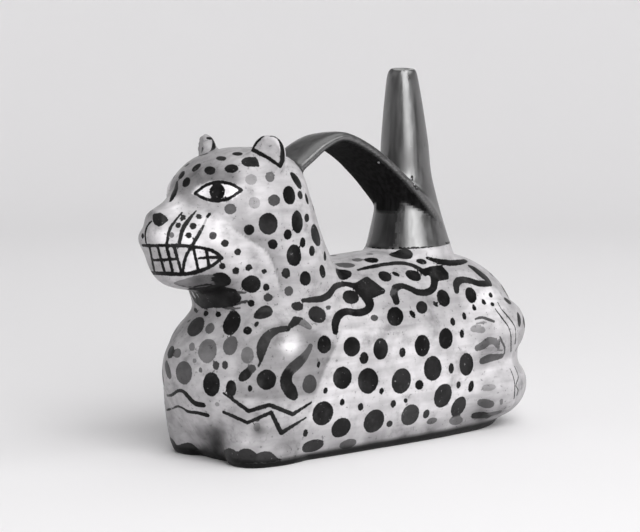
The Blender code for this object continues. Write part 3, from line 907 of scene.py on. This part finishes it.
paws = [stroke(*row) for row in CLAWS + TOES]

# The throat under the jaw is brushed dark, with streaks; the first streak, just under the chin, is also
# painted shade of the jaw.
THROAT_STREAKS = (
    (((179, 285.2), (186, 286.6), (194, 287.6)), (1.8, 3.4, 4.0), 0.25),
    (((184, 281.5), (196, 281.5), (210, 281)), (2.0, 3.0, 2.5), 0.72),
    (((192, 284.5), (202, 284), (212, 283.5)), (2.5, 3.5, 3.0), 0.45),
    (((194, 290), (206, 288), (218, 288.5), (232, 290)), (3, 5, 6, 4), 0.12),
    (((228, 291.5), (236, 292.5), (246, 292.5)), (5, 4, 2), 0.4),
    (((232, 304), (241, 302.5), (247, 301)), (5, 3.4, 2), 0.35),
    (((194.6, 309), (197, 311.6)), 3.4, 0.12), (((226, 307.6), (233, 308.5), (240, 308)), (4, 3, 2), 0.5),
)
THROAT = ((188.5, 290), (196, 286.5), (208, 284.5), (222, 287), (234, 291), (239, 298), (237, 302.5),
          (227, 305.5), (215, 305), (202, 306), (195.5, 301))
UNDER_CHIN = ((176, 283.5), (188, 280), (202, 277), (214, 276.5), (214, 284), (204, 287), (190, 287.5))
throat = [stroke(*row) for row in THROAT_STREAKS]
throat += [filled(THROAT, 5.5, 0.05, 6), filled(UNDER_CHIN, 4.5, 0.66, 4)]

# The far side: what the photograph doesn't show repeats the near side's marks, moved a little.
# The rump, spine and nape get plain spots of the same sizes.
CLEARANCE = 0.0005
FAR_SEED = 11
SPARE_SPOTS = 900
SPARE_GAP = 0.0016
SPARE_RADII = (0.0016, 0.0022, 0.0032, 0.0040, 0.0046)
SPARE_PALES = (0.0, 0.05, 0.2)
PROBE_FROM, PROBE_GAP = 0.02, 0.001
HEAD_FRONT = place(-46, 0, 0).x
NECK_BACK = place(8, 0, 0).x
SPOUT_FRONT = place(50, 0, 0).x
SPINE_TOP = place(0, 0, 89.5).z
BELOW_SPINE, ABOVE_SPINE, ABOVE_TABLE = 0.004, 0.002, 0.002


def far_copy(mark):
    """The mark's unseen dabs on the far side."""
    kept = []
    for dab in mark.dabs:
        copy = dab.on_far_side()
        if not is_seen(Vector(copy.point), Vector(copy.normal)):
            kept.append(copy)
    return Mark(kept, mark.pale)


def is_clear(point, radius, centres, sizes, gap):
    """True where a spot of that radius keeps clear of all other dabs."""
    return np.all(np.linalg.norm(centres - point, axis=1) > sizes + radius + gap)


def spread_of(laid):
    """The middles and the sizes of all dabs in some marks."""
    dabs = [dab for mark in laid for dab in mark.dabs]
    return np.array([dab.point for dab in dabs]), np.array([dab.size for dab in dabs])


near_marks = marks + ear_lines + bands + rings + paws + throat + middle_lines
centres, sizes = spread_of(near_marks + face_lines)
far_marks = []
for mark in face_lines + marks + bands + rings[:2] + throat:
    copy = far_copy(mark)
    clear = [is_clear(dab.point, dab.size, centres, sizes, CLEARANCE) for dab in copy.dabs]
    if any(clear) or copy.dabs and (len(mark.dabs) > 1 or mark in face_lines):
        far_marks.append(copy)
painted = near_marks + face_lines + far_marks

chance = random.Random(FAR_SEED)
centres, sizes = spread_of(painted)
vertices = jar.data.vertices
for _ in range(SPARE_SPOTS):
    vertex = vertices[chance.randrange(len(vertices))]
    radius = chance.choice(SPARE_RADII)
    point, normal = vertex.co.copy(), vertex.normal.copy()
    skin_point, _, _, _ = surface.ray_cast(point + normal * PROBE_FROM, -normal)
    inside = skin_point is None or (skin_point - point).length > PROBE_GAP
    low = point.z < radius + ABOVE_TABLE
    on_face = point.x < HEAD_FRONT and point.z > SPINE_TOP
    on_spout = point.x > SPOUT_FRONT and point.z > SPINE_TOP - BELOW_SPINE
    above_neck = point.x > NECK_BACK and point.z > SPINE_TOP + ABOVE_SPINE
    if inside or low or on_face or on_spout or above_neck or is_seen(point, normal):
        continue
    if not is_clear(np.array(point), radius, centres, sizes, SPARE_GAP):
        continue
    across = normal.orthogonal().normalized()
    frame_on_skin = np.array((across, normal.cross(across)))
    dab = Dab(point, normal, frame_on_skin / radius, radius)
    painted.append(Mark([dab], chance.choice(SPARE_PALES)))
    centres = np.vstack((centres, dab.point))
    sizes = np.append(sizes, radius)

# The dark slip covers the spout down to its foot, and the whole handle, and has small pale flecks in places.
# It is dull under the strap and beside it, and shines elsewhere; under the strap and on the spout's foot
# below it, painted shade of the strap also darkens it and lowers its sheen. The dull edges part the slips,
# and a slip's row is its name, the strengths of its two sheens, and its density.
SLIP_EDGE = (410, 249)
DULL_EDGES = (0.16, 0.30, 0.44, 0.60)
DARK_SLIPS = (
    ("dark slip", 1.0, 0.22, 1.85),
    ("dark slip, a little dull", 1.0, 0.12, 1.65),
    ("dark slip, duller", 0.8, 0.06, 1.5),
    ("dark slip, dull", 0.4, 0.0, 1.5),
    ("dark slip under the strap", 0.12, 0.0, 1.5),
)
SLIP_MOST = 0.004
SPOUT_REACH = SPOUT_FOOT_DIAMETER * 0.62
SECTIONS_TO_SEARCH = STEPS_BETWEEN_SECTIONS * 3
SECTION_REACH, OUTWARD_REACH = STRAP_THICKNESS * 0.45, STRAP_THICKNESS * 2
FAR_FROM_STRAP = 9.0
OVER_THICKNESS, OVER_WIDTH = 1.24, 1.06
DULL_FADE = 0.15
SHADE_SWELL = 1.3
# A shade is painted shadow of the strap, which dulls and darkens the slip: across, down, radius in pixels,
# and the most that it dulls.
STRAP_SHADES = (
    (358, 201, 11, 1.0), (364, 201, 11, 1.0), (370, 201, 11, 1.0), (376, 202, 11, 1.0), (382, 202, 11, 1.0),
    (387, 203, 10, 1.0), (392, 204, 9, 1.0),
)
FOOT_SHADES = ((366, 208, 18, 0.43), (376, 212, 18, 0.43), (366, 230, 18, 0.43), (378, 234, 15, 0.43))
PALE_SLIP_FLECKS = (
    (378.6, 162.6, 2.4, 2.4), (411, 179, 2.6, 1.4, -40), (414.5, 184.5, 2.0, 1.6),
    (417, 187.5, 2.4, 1.4, -40),
)

slip_height = (touch(SLIP_EDGE)[0] - spout_foot).dot(spout_up)
pale_slip_flecks = [dab_at(row[:2], *row[2:]) for row in PALE_SLIP_FLECKS]


def pixel_of(points):
    """Where points of the jar show in the photograph."""
    gone = points - np.array(CAMERA_PLACE)
    ahead = gone @ np.array(camera_ahead)
    across = IMAGE_WIDTH / 2 + FOCUS_IN_PIXELS * (gone @ np.array(camera_right)) / ahead
    down = IMAGE_HEIGHT / 2 - FOCUS_IN_PIXELS * (gone @ np.array(camera_up)) / ahead
    return np.stack((across, down), axis=-1)


def across_strap(points):
    """How far points lie aside of the strap's middle and outward of it, both in half sizes."""
    aside = np.full(len(points), FAR_FROM_STRAP)
    rise = np.full(len(points), FAR_FROM_STRAP)
    nearest = np.full(len(points), SECTION_REACH)
    for middle, out, side, width, wrap in strap_sections(SECTIONS_TO_SEARCH):
        gone = points - np.array(middle)
        over = gone @ np.array(side)
        gone[:, 0] -= wrap * np.clip(over / (width / 2), -1, 1) ** 2
        along = np.abs(gone @ np.cross(np.array(side), np.array(out)))
        outward = gone @ np.array(out)
        closer = (along < nearest) & (np.abs(outward) < OUTWARD_REACH)
        nearest[closer] = along[closer]
        aside[closer] = np.abs(over[closer]) / (width / 2)
        rise[closer] = outward[closer] / (STRAP_THICKNESS / 2)
    return aside, rise


def slip_on(points, shades=()):
    """How far points lie within the dark slip, and how dull it is, with painted shade where the strap's
    shadow falls.
    """
    along_spout = (points - np.array(spout_foot)) @ np.array(spout_up)
    from_axis = points - np.array(spout_foot) - along_spout[:, None] * np.array(spout_up)
    off_axis = np.linalg.norm(from_axis, axis=1)
    on_spout = off_axis < SPOUT_REACH
    slip = np.where(on_spout, along_spout - slip_height, -SLIP_MOST)
    dull = np.zeros(len(points))
    high = np.nonzero(points[:, 2] > spout_foot.z)[0]
    aside, rise = across_strap(points[high])
    inside = 1 - np.maximum(np.abs(rise) / OVER_THICKNESS, aside / OVER_WIDTH)
    slip[high] = np.maximum(slip[high], np.minimum(inside * STRAP_THICKNESS, SLIP_MOST))
    dull[high] = np.clip(-rise, 0, 1) * np.clip(inside / DULL_FADE, 0, 1)
    for pale_fleck in pale_slip_flecks:
        slip = np.minimum(slip, np.maximum(pale_fleck.distance(points), -SLIP_MOST))
    pixels = pixel_of(points)
    towards = -2 * (from_axis @ np.array(camera_ahead)) / np.maximum(off_axis, STRAP_THICKNESS / 2)
    on_near_side = np.clip(towards, 0, 1) * on_spout
    for across, down, radius, most in shades:
        apart = np.linalg.norm(pixels - (across, down), axis=1) / radius
        dull = np.maximum(dull, np.minimum(np.exp(-apart**2) * SHADE_SWELL, most) * on_near_side)
    return slip, dull


# Finer clay where thin lines and the dark slip's edges run, so that each keeps a clean edge.
THIN_LINE = 0.00135
THINNEST_LINE = 0.0006
LINE_MARGIN = 0.0008
SLIP_MARGIN = 0.0006
FAR_OFF = 0.004
DAB_REACH = 1.4
LOOK_AROUND = 0.0025
REFINE_RUBS = 2


def lay(laid, points):
    """How far each point lies outside the nearest mark, and how pale that mark is."""
    distance = np.full(len(points), FAR_OFF)
    pale = np.zeros(len(points))
    for mark in laid:
        middles = np.array([dab.point for dab in mark.dabs])
        reach = max(dab.size for dab in mark.dabs) * DAB_REACH + LOOK_AROUND
        inside = (points > middles.min(0) - reach) & (points < middles.max(0) + reach)
        near = np.nonzero(inside.all(axis=1))[0]
        if len(near) == 0:
            continue
        found = np.min([dab.distance(points[near]) for dab in mark.dabs], axis=0)
        closer = found < distance[near]
        distance[near[closer]] = found[closer]
        pale[near[closer]] = mark.pale
    return distance, pale


def near_thin_marks(points, widest):
    """True for points near the dabs that are smaller than the given radius."""
    thin = [Mark([dab for dab in mark.dabs if dab.size < widest]) for mark in painted]
    distance, _ = lay([mark for mark in thin if mark.dabs], points)
    return distance < LINE_MARGIN


def near_slip_edges(points):
    """True for points at the edge of the dark slip, or where it goes from shiny to dull."""
    slip, dull = slip_on(points, STRAP_SHADES)
    fading = (slip > 0) & (dull > DULL_EDGES[0]) & (dull < DULL_EDGES[-1])
    return (np.abs(slip) < SLIP_MARGIN) | fading


def refine(data, close):
    """Halves the edges between the chosen corners, and rubs the new corners smooth."""
    mesh = bmesh.new()
    mesh.from_mesh(data)
    edges = [edge for edge in mesh.edges if close[edge.verts[0].index] and close[edge.verts[1].index]]
    made = bmesh.ops.subdivide_edges(mesh, edges=edges, cuts=1, use_grid_fill=True)
    fresh = [item for item in made["geom_inner"] if isinstance(item, bmesh.types.BMVert)]
    for _ in range(REFINE_RUBS):
        bmesh.ops.smooth_vert(mesh, verts=fresh, factor=0.5,
                              use_axis_x=True, use_axis_y=True, use_axis_z=True)
    mesh.to_mesh(data)
    mesh.free()


refine(jar.data, near_thin_marks(corners_of(jar.data), THIN_LINE))
refine(jar.data, near_thin_marks(corners_of(jar.data), THINNEST_LINE))
for _ in range(2):
    refine(jar.data, near_slip_edges(corners_of(jar.data)))
points = corners_of(jar.data)
mark_distance, mark_pale = lay(painted, points)

# Pale slips under the marks: how much light each part of the skin gives back. The flank is nearly white,
# the shoulder and the brow are greyer, and painted shade darkens the back of the cheek.
BODY_TONE = 0.44
FLANK_TONE = 0.57
SHOULDER_TONE = 0.22
EYE_TONE = 0.86
FRONT_TEETH, BACK_TEETH = (176, 260), (192, 260)
TEETH_TONES = (0.42, 0.74)
UNDER_LIDS = 0.0006
MOUTH_OPENS_AHEAD = 0.02
SOFT_EDGE = 0.0008
near_points = points.copy()
near_points[:, 1] = -np.abs(points[:, 1])
near_points[:, 0] -= FAR_SLIP * (points[:, 1] > 0)
turned_away = (corners_of(jar.data, "normal") * (np.array(CAMERA_PLACE) - points)).sum(axis=1) < 0
hidden = turned_away & (points[:, 1] > 0)


def outside(flat, corners):
    """Distance of flat points from a closed outline, below nought inside it."""
    nearest = np.full(len(flat), np.inf)
    crossings = np.zeros(len(flat), dtype=int)
    for start, end in zip(corners, np.roll(corners, -1, axis=0)):
        run = end - start
        gone = flat - start
        share = np.clip(gone @ run / (run @ run + 1e-12), 0, 1)
        nearest = np.minimum(nearest, np.linalg.norm(gone - share[:, None] * run, axis=1))
        spans = (start[1] > flat[:, 1]) != (end[1] > flat[:, 1])
        rise = run[1] if abs(run[1]) > 1e-12 else 1e-12
        crossings += spans & (flat[:, 0] < start[0] + run[0] * gone[:, 1] / rise)
    return np.where(crossings % 2 == 1, -nearest, nearest)


def weight(distance, soft):
    """One well inside, nought well outside, with a soft step between."""
    share = np.clip(0.5 - distance / soft, 0, 1)
    return share * share * (3 - 2 * share)


FLANK_ZONE = (
    (343, 329), (400, 329), (417, 326), (443, 318), (466, 309), (480, 291), (490, 284), (499, 291),
    (508, 305),
    (514, 320), (517, 345), (516, 395), (500, 425), (470, 436), (400, 448), (330, 458), (296, 460),
    (303, 430),
    (316, 395), (325, 369), (336, 346),
)
SHOULDER_ZONE = (
    (233, 396), (277, 401), (315, 395), (325, 369), (336, 346), (326, 336), (305, 326), (288, 321),
    (266, 327),
    (248, 340), (236, 362),
)
# Broad soft changes of tone, among them painted shade in recesses and on turned-away sides, and painted
# highlights. Each row is across, down, radius in pixels and tone.
SOFT_TONES_AND_PAINTED_LIGHT = (
    (228, 160, 26, 0.40), (205, 166, 16, 0.30), (194, 178, 15, 0.20), (214, 176, 12, 0.17),
    (232, 177, 10, 0.17),
    (182, 190, 10, 0.24), (193, 199, 8, 0.24), (176, 184, 8, 0.24), (241, 203, 8, 0.38),
    (205, 205, 8, 0.36),
    (262, 194, 22, 0.50), (244, 186, 5, 0.55), (212, 232, 20, 0.78), (190, 240, 14, 0.72),
    (160, 236, 12, 0.66),
    # painted highlight on the bridge of the nose
    (176, 206, 8, 0.72), (235, 262, 16, 0.56), (240, 222, 12, 0.36), (292, 230, 26, 0.44),
    # the chest, with painted shade down its left edge, which turns away from the light
    (230, 340, 34, 0.33), (172, 335, 14, 0.26),
    (250, 435, 20, 0.42), (200, 281, 9, 0.20), (214, 276, 8, 0.26), (225, 296, 16, 0.10),
    (208, 310, 8, 0.3),
    # more painted shade down the chest's left edge
    (176, 365, 9, 0.36), (165, 345, 9, 0.34), (188, 315, 8, 0.36), (170, 276, 8, 0.5),
    # painted highlight on the shoulder's swell
    (286, 345, 13, 0.30), (290, 346.5, 8, 0.88), (291, 338, 7, 0.6),
    # painted shade round and between the hind paws, and a painted highlight on the lower one
    (488, 324, 10, 0.40), (490, 346, 13, 0.30), (484, 360, 9, 0.28), (487, 386, 10, 0.46),
    (484, 404, 12, 0.30),
    (480, 417, 9, 0.10), (500, 409, 8, 0.32), (505, 392, 8, 0.42), (506, 340, 8, 0.44), (487, 373, 7, 0.56),
    # the forelegs' fronts, and painted shade in the groove between them
    (186, 420, 12, 0.50), (200, 433, 8, 0.34), (208, 433, 7, 0.22), (216, 434, 9, 0.10),
    (217, 443, 9, 0.04),
    (215, 452, 9, 0.012), (205, 451, 7, 0.05), (224, 455, 5, 0.02),
    # painted highlight down the near foreleg, with darker patches beside it
    (236, 436, 7, 0.52), (247, 441, 5, 0.56), (259, 430, 7, 0.15), (257, 415, 5, 0.26),
    (286, 440, 12, 0.34),
    (433, 300, 14, 0.42), (402, 296, 10, 0.42), (372, 322, 10, 0.56), (405, 250.5, 12, 0.5),
    (385, 250.5, 10, 0.45),
    (430, 251, 10, 0.55), (488, 297, 9, 0.72), (508, 316, 10, 0.5), (514, 380, 8, 0.5),
    (462, 424, 13, 0.30), (435, 430, 12, 0.34), (405, 438, 12, 0.36), (376, 443, 11, 0.30),
    (340, 448, 13, 0.28), (432, 300, 10, 0.36), (455, 310, 10, 0.46),
)
# Painted shade behind the cheek's edge: the light left in it, how far back it reaches, and how soft its front
# edge is.
CHEEK_SHADE, CHEEK_SHADE_WIDTH, CHEEK_SHADE_EDGE = 0.44, 0.0062, 0.0010

CLOUD_REACH = 3.0
# A zone's row is its outline, its tone, how much of it shows, and how soft its edge is.
ZONES = (
    (FLANK_ZONE, FLANK_TONE, 1.0, SOFT_EDGE * 1.5),
    (SHOULDER_ZONE, SHOULDER_TONE, 0.8, SOFT_EDGE * 2),
)
flat = near_points[:, (0, 2)]
pixels = np.where(hidden[:, None], pixel_of(near_points), pixel_of(points))
ground = np.full(len(points), BODY_TONE)
for zone, tone, most, soft in ZONES:
    ground += (tone - ground) * most * weight(outside(flat, side_view(zone)), soft)
for across, down, radius, tone in SOFT_TONES_AND_PAINTED_LIGHT:
    middle = np.array(touch((across, down))[0])
    pixels_in_metre = FOCUS_IN_PIXELS / (Vector(middle) - CAMERA_PLACE).dot(camera_ahead)
    near_middle = middle * MIRRORED if middle[1] > 0 else middle
    gone = np.where(hidden[:, None], near_points - near_middle, points - middle)
    close = np.linalg.norm(gone, axis=1) * pixels_in_metre < radius * CLOUD_REACH
    seen_middle = np.where(hidden[:, None], pixel_of(near_middle), pixel_of(middle))
    apart = np.linalg.norm(pixels - seen_middle, axis=1) / radius
    ground += (tone - ground) * np.exp(-apart**2) * close

# Darker towards its foot, and a painted shadow along the edge on which it rests
FOOT_DARKENING, FOOT_DARKENING_HEIGHT = 0.58, 0.026
CONTACT_SHADOW_TONE = 0.008
CONTACT_SHADOW_ENDS = (place(-40, 0, 0).x, place(110, 0, 0).x)
CONTACT_SHADOW_HEIGHTS = (0.0036, 0.0044)
WHOLLY_DARK = 0.95
# Darker towards the foot
low = np.clip(points[:, 2] / FOOT_DARKENING_HEIGHT, 0, 1)
ground *= between(FOOT_DARKENING, 1.0, np.sqrt(low))
# Painted shadow: a dark band along the foot, higher towards the rump, where marks are left out
contact_shadow_height = np.interp(points[:, 0], CONTACT_SHADOW_ENDS, CONTACT_SHADOW_HEIGHTS)
contact_shadow = weight(points[:, 2] - contact_shadow_height, SOFT_EDGE * 3)
ground += (CONTACT_SHADOW_TONE - ground) * contact_shadow
mark_distance = np.where(contact_shadow > WHOLLY_DARK, np.maximum(mark_distance, SOFT_EDGE), mark_distance)

# Painted shade in the groove behind the cheek's edge
behind, full = behind_cheek(points)
shade = full * weight(-behind, CHEEK_SHADE_EDGE) * np.exp(-np.maximum(behind, 0) / CHEEK_SHADE_WIDTH)
ground *= 1 - shade * (1 - CHEEK_SHADE)

white_of_the_eye = side_view(UPPER_LID + LOWER_LID[::-1])
ground += (EYE_TONE - ground) * weight(outside(flat, white_of_the_eye) - UNDER_LIDS, SOFT_EDGE)
mouth = side_view(UPPER_LIP + LOWER_LIP[::-1])
mouth[(0, -1), 0] -= MOUTH_OPENS_AHEAD
teeth_tone = np.interp(flat[:, 0], side_view((FRONT_TEETH, BACK_TEETH))[:, 0], TEETH_TONES)
ground += (teeth_tone - ground) * weight(outside(flat, mouth), SOFT_EDGE)

slip, dull = slip_on(points, STRAP_SHADES + FOOT_SHADES)
IN_MILLIMETRES = 1000
for name, values in (("mark", mark_distance * IN_MILLIMETRES), ("pale", mark_pale), ("ground", ground),
                     ("slip", slip * IN_MILLIMETRES), ("dull", dull)):
    jar.data.attributes.new(name, "FLOAT", "POINT").data.foreach_set("value", values.astype(np.float32))

# The finish: fired slips rubbed to a satin shine with a pebble, worn and flecked by handling.
DARK_PAINT = 0.0045
DARK_SLIP = 0.014
SHADED_MATTE_SLIP = 0.0055
MATTE_ROUGHNESS = 0.9
COAT_ROUGHNESS = 0.17
BARE_ROUGHNESS = 0.85
BARE_CLAY = 0.30
PALE_SLIP = (0.10, 0.015, 1.5)
TINT = (1.01, 0.985, 1.01)
# How far the edges of marks waver, and how softly the edges of marks and slip end, in millimetres.
BRUSH_WAVER = 0.34
MARK_EDGE = 0.16
SLIP_BLUR = 0.2
SHARP_EDGE = math.radians(50)


def add(tree, kind, sockets=None, **settings):
    """Adds a node. Sockets are set from numbers or linked from other nodes' outputs."""
    made = tree.nodes.new(kind)
    for setting, value in settings.items():
        setattr(made, setting, value)
    for key, value in (sockets or {}).items():
        if isinstance(value, bpy.types.NodeSocket):
            tree.links.new(value, made.inputs[key])
        else:
            made.inputs[key].default_value = value
    return made.outputs[0]


def calculate(tree, operation, *values):
    return add(tree, "ShaderNodeMath", dict(enumerate(values)), operation=operation)


def step_between(tree, value, low, high, to_low=0.0, to_high=1.0):
    """The value's place between two limits, clamped and smoothed."""
    return add(tree, "ShaderNodeMapRange", {0: value, 1: low, 2: high, 3: to_low, 4: to_high},
               interpolation_type="SMOOTHSTEP")


def blend_values(tree, share, a, b):
    """Goes from a to b by a share that is itself a pattern."""
    return add(tree, "ShaderNodeMapRange", {0: share, 1: 0.0, 2: 1.0, 3: a, 4: b})


def grain(tree, place_on_clay, scale, detail=3.0, rough=0.5):
    return add(tree, "ShaderNodeTexNoise", {"Vector": place_on_clay, "Scale": scale, "Detail": detail,
                                            "Roughness": rough})


def held(tree, name):
    """What the clay's mesh holds under a name."""
    made = tree.nodes.new("ShaderNodeAttribute")
    made.attribute_name = name
    return made.outputs["Fac"]


def start_material(material):
    """The material's node tree, its shader, and the places on the clay."""
    material.use_nodes = True
    tree = material.node_tree
    return tree, tree.nodes["Principled BSDF"], tree.nodes.new("ShaderNodeTexCoord").outputs["Object"]


def painted_slip(material, gloss, glaze, density):
    """The painted and burnished skin. Gloss and glaze are the strengths of its two sheens."""
    tree, shader, coordinates = start_material(material)
    broad = grain(tree, coordinates, 28, 3)
    middling = grain(tree, coordinates, 130, 4)
    fine = grain(tree, coordinates, 900, 3)
    flecks = grain(tree, coordinates, 520, 6, 0.65)
    stains = grain(tree, coordinates, 75, 6, 0.62)
    lengthwise = add(tree, "ShaderNodeMapping", {"Vector": coordinates, "Scale": (40, 260, 330)})
    strokes_of_pebble = grain(tree, lengthwise, 1.0, 3)
    upright = add(tree, "ShaderNodeMapping", {"Vector": coordinates, "Scale": (520, 520, 22)})
    spout_streaks = grain(tree, upright, 1.0, 3)

    # Pale ground: cloudy, brushed lengthwise, mottled, with dark specks in its pores, and smudged.
    # A row is the pattern, its low and high limit, and how much light is left at each.
    value = held(tree, "ground")
    for pattern, low, high, at_low, at_high in (
            (broad, 0.36, 0.66, 0.86, 1.08), (strokes_of_pebble, 0.34, 0.64, 0.88, 1.05),
            (middling, 0.36, 0.62, 0.88, 1.06), (flecks, 0.32, 0.40, 0.50, 1.0),
            (stains, 0.54, 0.72, 1.0, 0.62)):
        left = step_between(tree, pattern, low, high, at_low, at_high)
        value = calculate(tree, "MULTIPLY", value, left)

    # Dark marks: a brushed edge, thin places and chips where the ground shows through
    ragged = blend_values(tree, fine, -BRUSH_WAVER, BRUSH_WAVER)
    wavering = blend_values(tree, middling, -BRUSH_WAVER, BRUSH_WAVER)
    edge = calculate(tree, "ADD", held(tree, "mark"), calculate(tree, "ADD", ragged, wavering))
    inside = step_between(tree, edge, -MARK_EDGE, MARK_EDGE, 1.0, 0.0)
    chips = step_between(tree, flecks, 0.64, 0.72, 0.0, 0.45)
    thin = step_between(tree, middling, 0.58, 0.78, 0.0, 0.05)
    pale = held(tree, "pale")
    cover = calculate(tree, "SUBTRACT", 1.0, calculate(tree, "MULTIPLY", pale, pale))
    whole = calculate(tree, "SUBTRACT", 1.0, calculate(tree, "ADD", chips, thin))
    cover = calculate(tree, "MULTIPLY", cover, whole)
    share = calculate(tree, "MULTIPLY", inside, cover)
    paint = step_between(tree, stains, 0.40, 0.68, DARK_PAINT * 0.7, DARK_PAINT * 4.0)
    value = blend_values(tree, share, value, paint)

    # Dark slip of the spout and handle, streaked by upright rubbing, and darker where dull, as painted shade
    # under the strap and on the spout's foot
    on_slip = step_between(tree, calculate(tree, "ADD", held(tree, "slip"), ragged), -SLIP_BLUR, SLIP_BLUR)
    dullness_and_shade = held(tree, "dull")
    tone = blend_values(tree, step_between(tree, dullness_and_shade, 0.08, 0.62), DARK_SLIP, SHADED_MATTE_SLIP)
    streaks = step_between(tree, spout_streaks, 0.34, 0.66, 0.4, 1.7)
    specks = step_between(tree, flecks, 0.66, 0.74, 1.0, 3.5)
    worn_slip = calculate(tree, "MULTIPLY", calculate(tree, "MULTIPLY", tone, streaks), specks)
    value = blend_values(tree, on_slip, value, worn_slip)
    channels = {i: calculate(tree, "MULTIPLY", value, tint) for i, tint in enumerate(TINT)}
    tree.links.new(add(tree, "ShaderNodeCombineColor", channels), shader.inputs["Base Color"])

    # Sheen: rubbed unevenly, and lost where the slip is dull
    shine = calculate(tree, "ADD", blend_values(tree, middling, 0.28, 0.44),
                      step_between(tree, spout_streaks, 0.35, 0.65, -0.06, 0.06))
    rough = step_between(tree, dullness_and_shade, 0.44, 0.70)
    tree.links.new(blend_values(tree, rough, shine, MATTE_ROUGHNESS), shader.inputs["Roughness"])
    height = calculate(tree, "ADD", calculate(tree, "MULTIPLY", strokes_of_pebble, 0.5),
                       calculate(tree, "MULTIPLY", flecks, 0.35))
    height = calculate(tree, "ADD", height, calculate(tree, "MULTIPLY", inside, 0.05))
    bump = add(tree, "ShaderNodeBump", {"Strength": 0.30, "Distance": 0.00025, "Height": height})
    tree.links.new(bump, shader.inputs["Normal"])
    for socket, amount in (("Specular IOR Level", gloss), ("IOR", density), ("Coat Weight", glaze),
                           ("Coat Roughness", COAT_ROUGHNESS)):
        shader.inputs[socket].default_value = amount


def bare_clay(material):
    """The unpainted clay of a cut face, rough and pitted."""
    tree, shader, coordinates = start_material(material)
    pits = grain(tree, coordinates, 700, 5, 0.6)
    value = blend_values(tree, pits, BARE_CLAY * 0.7, BARE_CLAY * 1.3)
    channels = {i: value for i in range(3)}
    tree.links.new(add(tree, "ShaderNodeCombineColor", channels), shader.inputs["Base Color"])
    bump = add(tree, "ShaderNodeBump", {"Strength": 0.4, "Distance": 0.0003, "Height": pits})
    tree.links.new(bump, shader.inputs["Normal"])
    shader.inputs["Roughness"].default_value = BARE_ROUGHNESS


painted_slip(bpy.data.materials["slipped"], *PALE_SLIP)
bare_clay(bpy.data.materials["bare"])
for name, gloss, glaze, density in DARK_SLIPS:
    dark = bpy.data.materials.new(name)
    painted_slip(dark, gloss, glaze, density)
    jar.data.materials.append(dark)
for polygon in jar.data.polygons:
    polygon.use_smooth = True
    on_dark = min(slip[corner] for corner in polygon.vertices) > 0
    if on_dark and polygon.material_index == SLIPPED:
        polygon_dull_and_shade = sum(dull[corner] for corner in polygon.vertices) / len(polygon.vertices)
        polygon.material_index = DARK + sum(polygon_dull_and_shade > edge for edge in DULL_EDGES)
jar.data.set_sharp_from_angle(angle=SHARP_EDGE)


# Placing in the frame: the finished jar stands where its solid stands and rides on the root.
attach(jar, "root")
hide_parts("jar")


# The table and the light: a pale round sweep that rises behind the jar, as in a museum's studio.
# A large soft lamp stands over the camera's right shoulder, with weaker ones at the right, above
# and behind, at the left, and on the backdrop.
FLOOR_RADIUS = 1.3
SWEEP_RADIUS = 2.2
SWEEP_HEIGHT = 0.9
SWEEP_RINGS = 24
SWEEP_POINTS = 96
SWEEP_MIDDLE = 0.02
LAMP_TARGET = Vector((0, 0, 0.08))
BACKDROP_TARGET = level_ahead * 1.9
ROOM_LIGHT = 0.13
PAPER = (0.86, 0.85, 0.86, 1)
PAPER_ROUGHNESS = 0.9


def sweep(mesh):
    """A level round floor whose far side curves up into a backdrop."""
    rings = []
    for i in range(SWEEP_RINGS + 1):
        share = i / SWEEP_RINGS
        radius = between(SWEEP_MIDDLE, FLOOR_RADIUS, min(1.0, share * 2))
        height = 0.0
        if share > 0.5:
            turn = (share - 0.5) * math.pi
            radius = FLOOR_RADIUS + (SWEEP_RADIUS - FLOOR_RADIUS) * math.sin(turn)
            height = SWEEP_HEIGHT * (1 - math.cos(turn))
        ring = []
        for k in range(SWEEP_POINTS):
            way = Vector((math.cos(math.tau * k / SWEEP_POINTS), math.sin(math.tau * k / SWEEP_POINTS), 0))
            rise = min(1.0, max(0.0, way.dot(level_ahead) * 2 + 0.5))
            ring.append(mesh.verts.new(way * radius + Vector((0, 0, height * rise))))
        rings.append(ring)
    mesh.faces.new(rings[0])
    for inner, outer in zip(rings, rings[1:]):
        for k in range(SWEEP_POINTS):
            j = (k + 1) % SWEEP_POINTS
            mesh.faces.new((inner[k], outer[k], outer[j], inner[j]))


table = new_object("table", sweep)
for polygon in table.data.polygons:
    polygon.use_smooth = True
paper = bpy.data.materials.new("pale paper")
paper.use_nodes = True
paper_shader = paper.node_tree.nodes["Principled BSDF"]
paper_shader.inputs["Base Color"].default_value = PAPER
paper_shader.inputs["Roughness"].default_value = PAPER_ROUGHNESS
table.data.materials.append(paper)


def soft_lamp(name, aim, distance, size, power, target=LAMP_TARGET):
    """A soft lamp. Aim is degrees right of the camera and above the table, size width and height."""
    light = bpy.data.lights.new(name, "AREA")
    light.shape = "RECTANGLE"
    light.size, light.size_y = size
    light.energy = power
    right, above = (math.radians(angle) for angle in aim)
    level = camera_right * math.sin(right) - level_ahead * math.cos(right)
    back = level * math.cos(above) + Vector((0, 0, math.sin(above)))
    lamp = bpy.data.objects.new(name, light)
    lamp.location = target + back * distance
    lamp.rotation_euler = back.to_track_quat("Z", "Y").to_euler()
    bpy.context.scene.collection.objects.link(lamp)


soft_lamp("key lamp", (22, 35), 2.0, (1.5, 2.3), 50)
soft_lamp("side lamp", (78, 42), 2.0, (0.9, 0.9), 6)
soft_lamp("top lamp", (180, 72), 2.2, (2.0, 2.0), 11)
soft_lamp("fill lamp", (-75, 35), 2.2, (2.0, 1.2), 3.5)
soft_lamp("backdrop lamp", (0, 45), 1.4, (3.0, 0.8), 3, BACKDROP_TARGET)

world = bpy.data.worlds.new("room")
world.use_nodes = True
background = world.node_tree.nodes["Background"]
background.inputs["Color"].default_value = (1.0, 1.0, 1.0, 1)
background.inputs["Strength"].default_value = ROOM_LIGHT
bpy.context.scene.world = world
bpy.context.scene.view_settings.view_transform = "Standard"
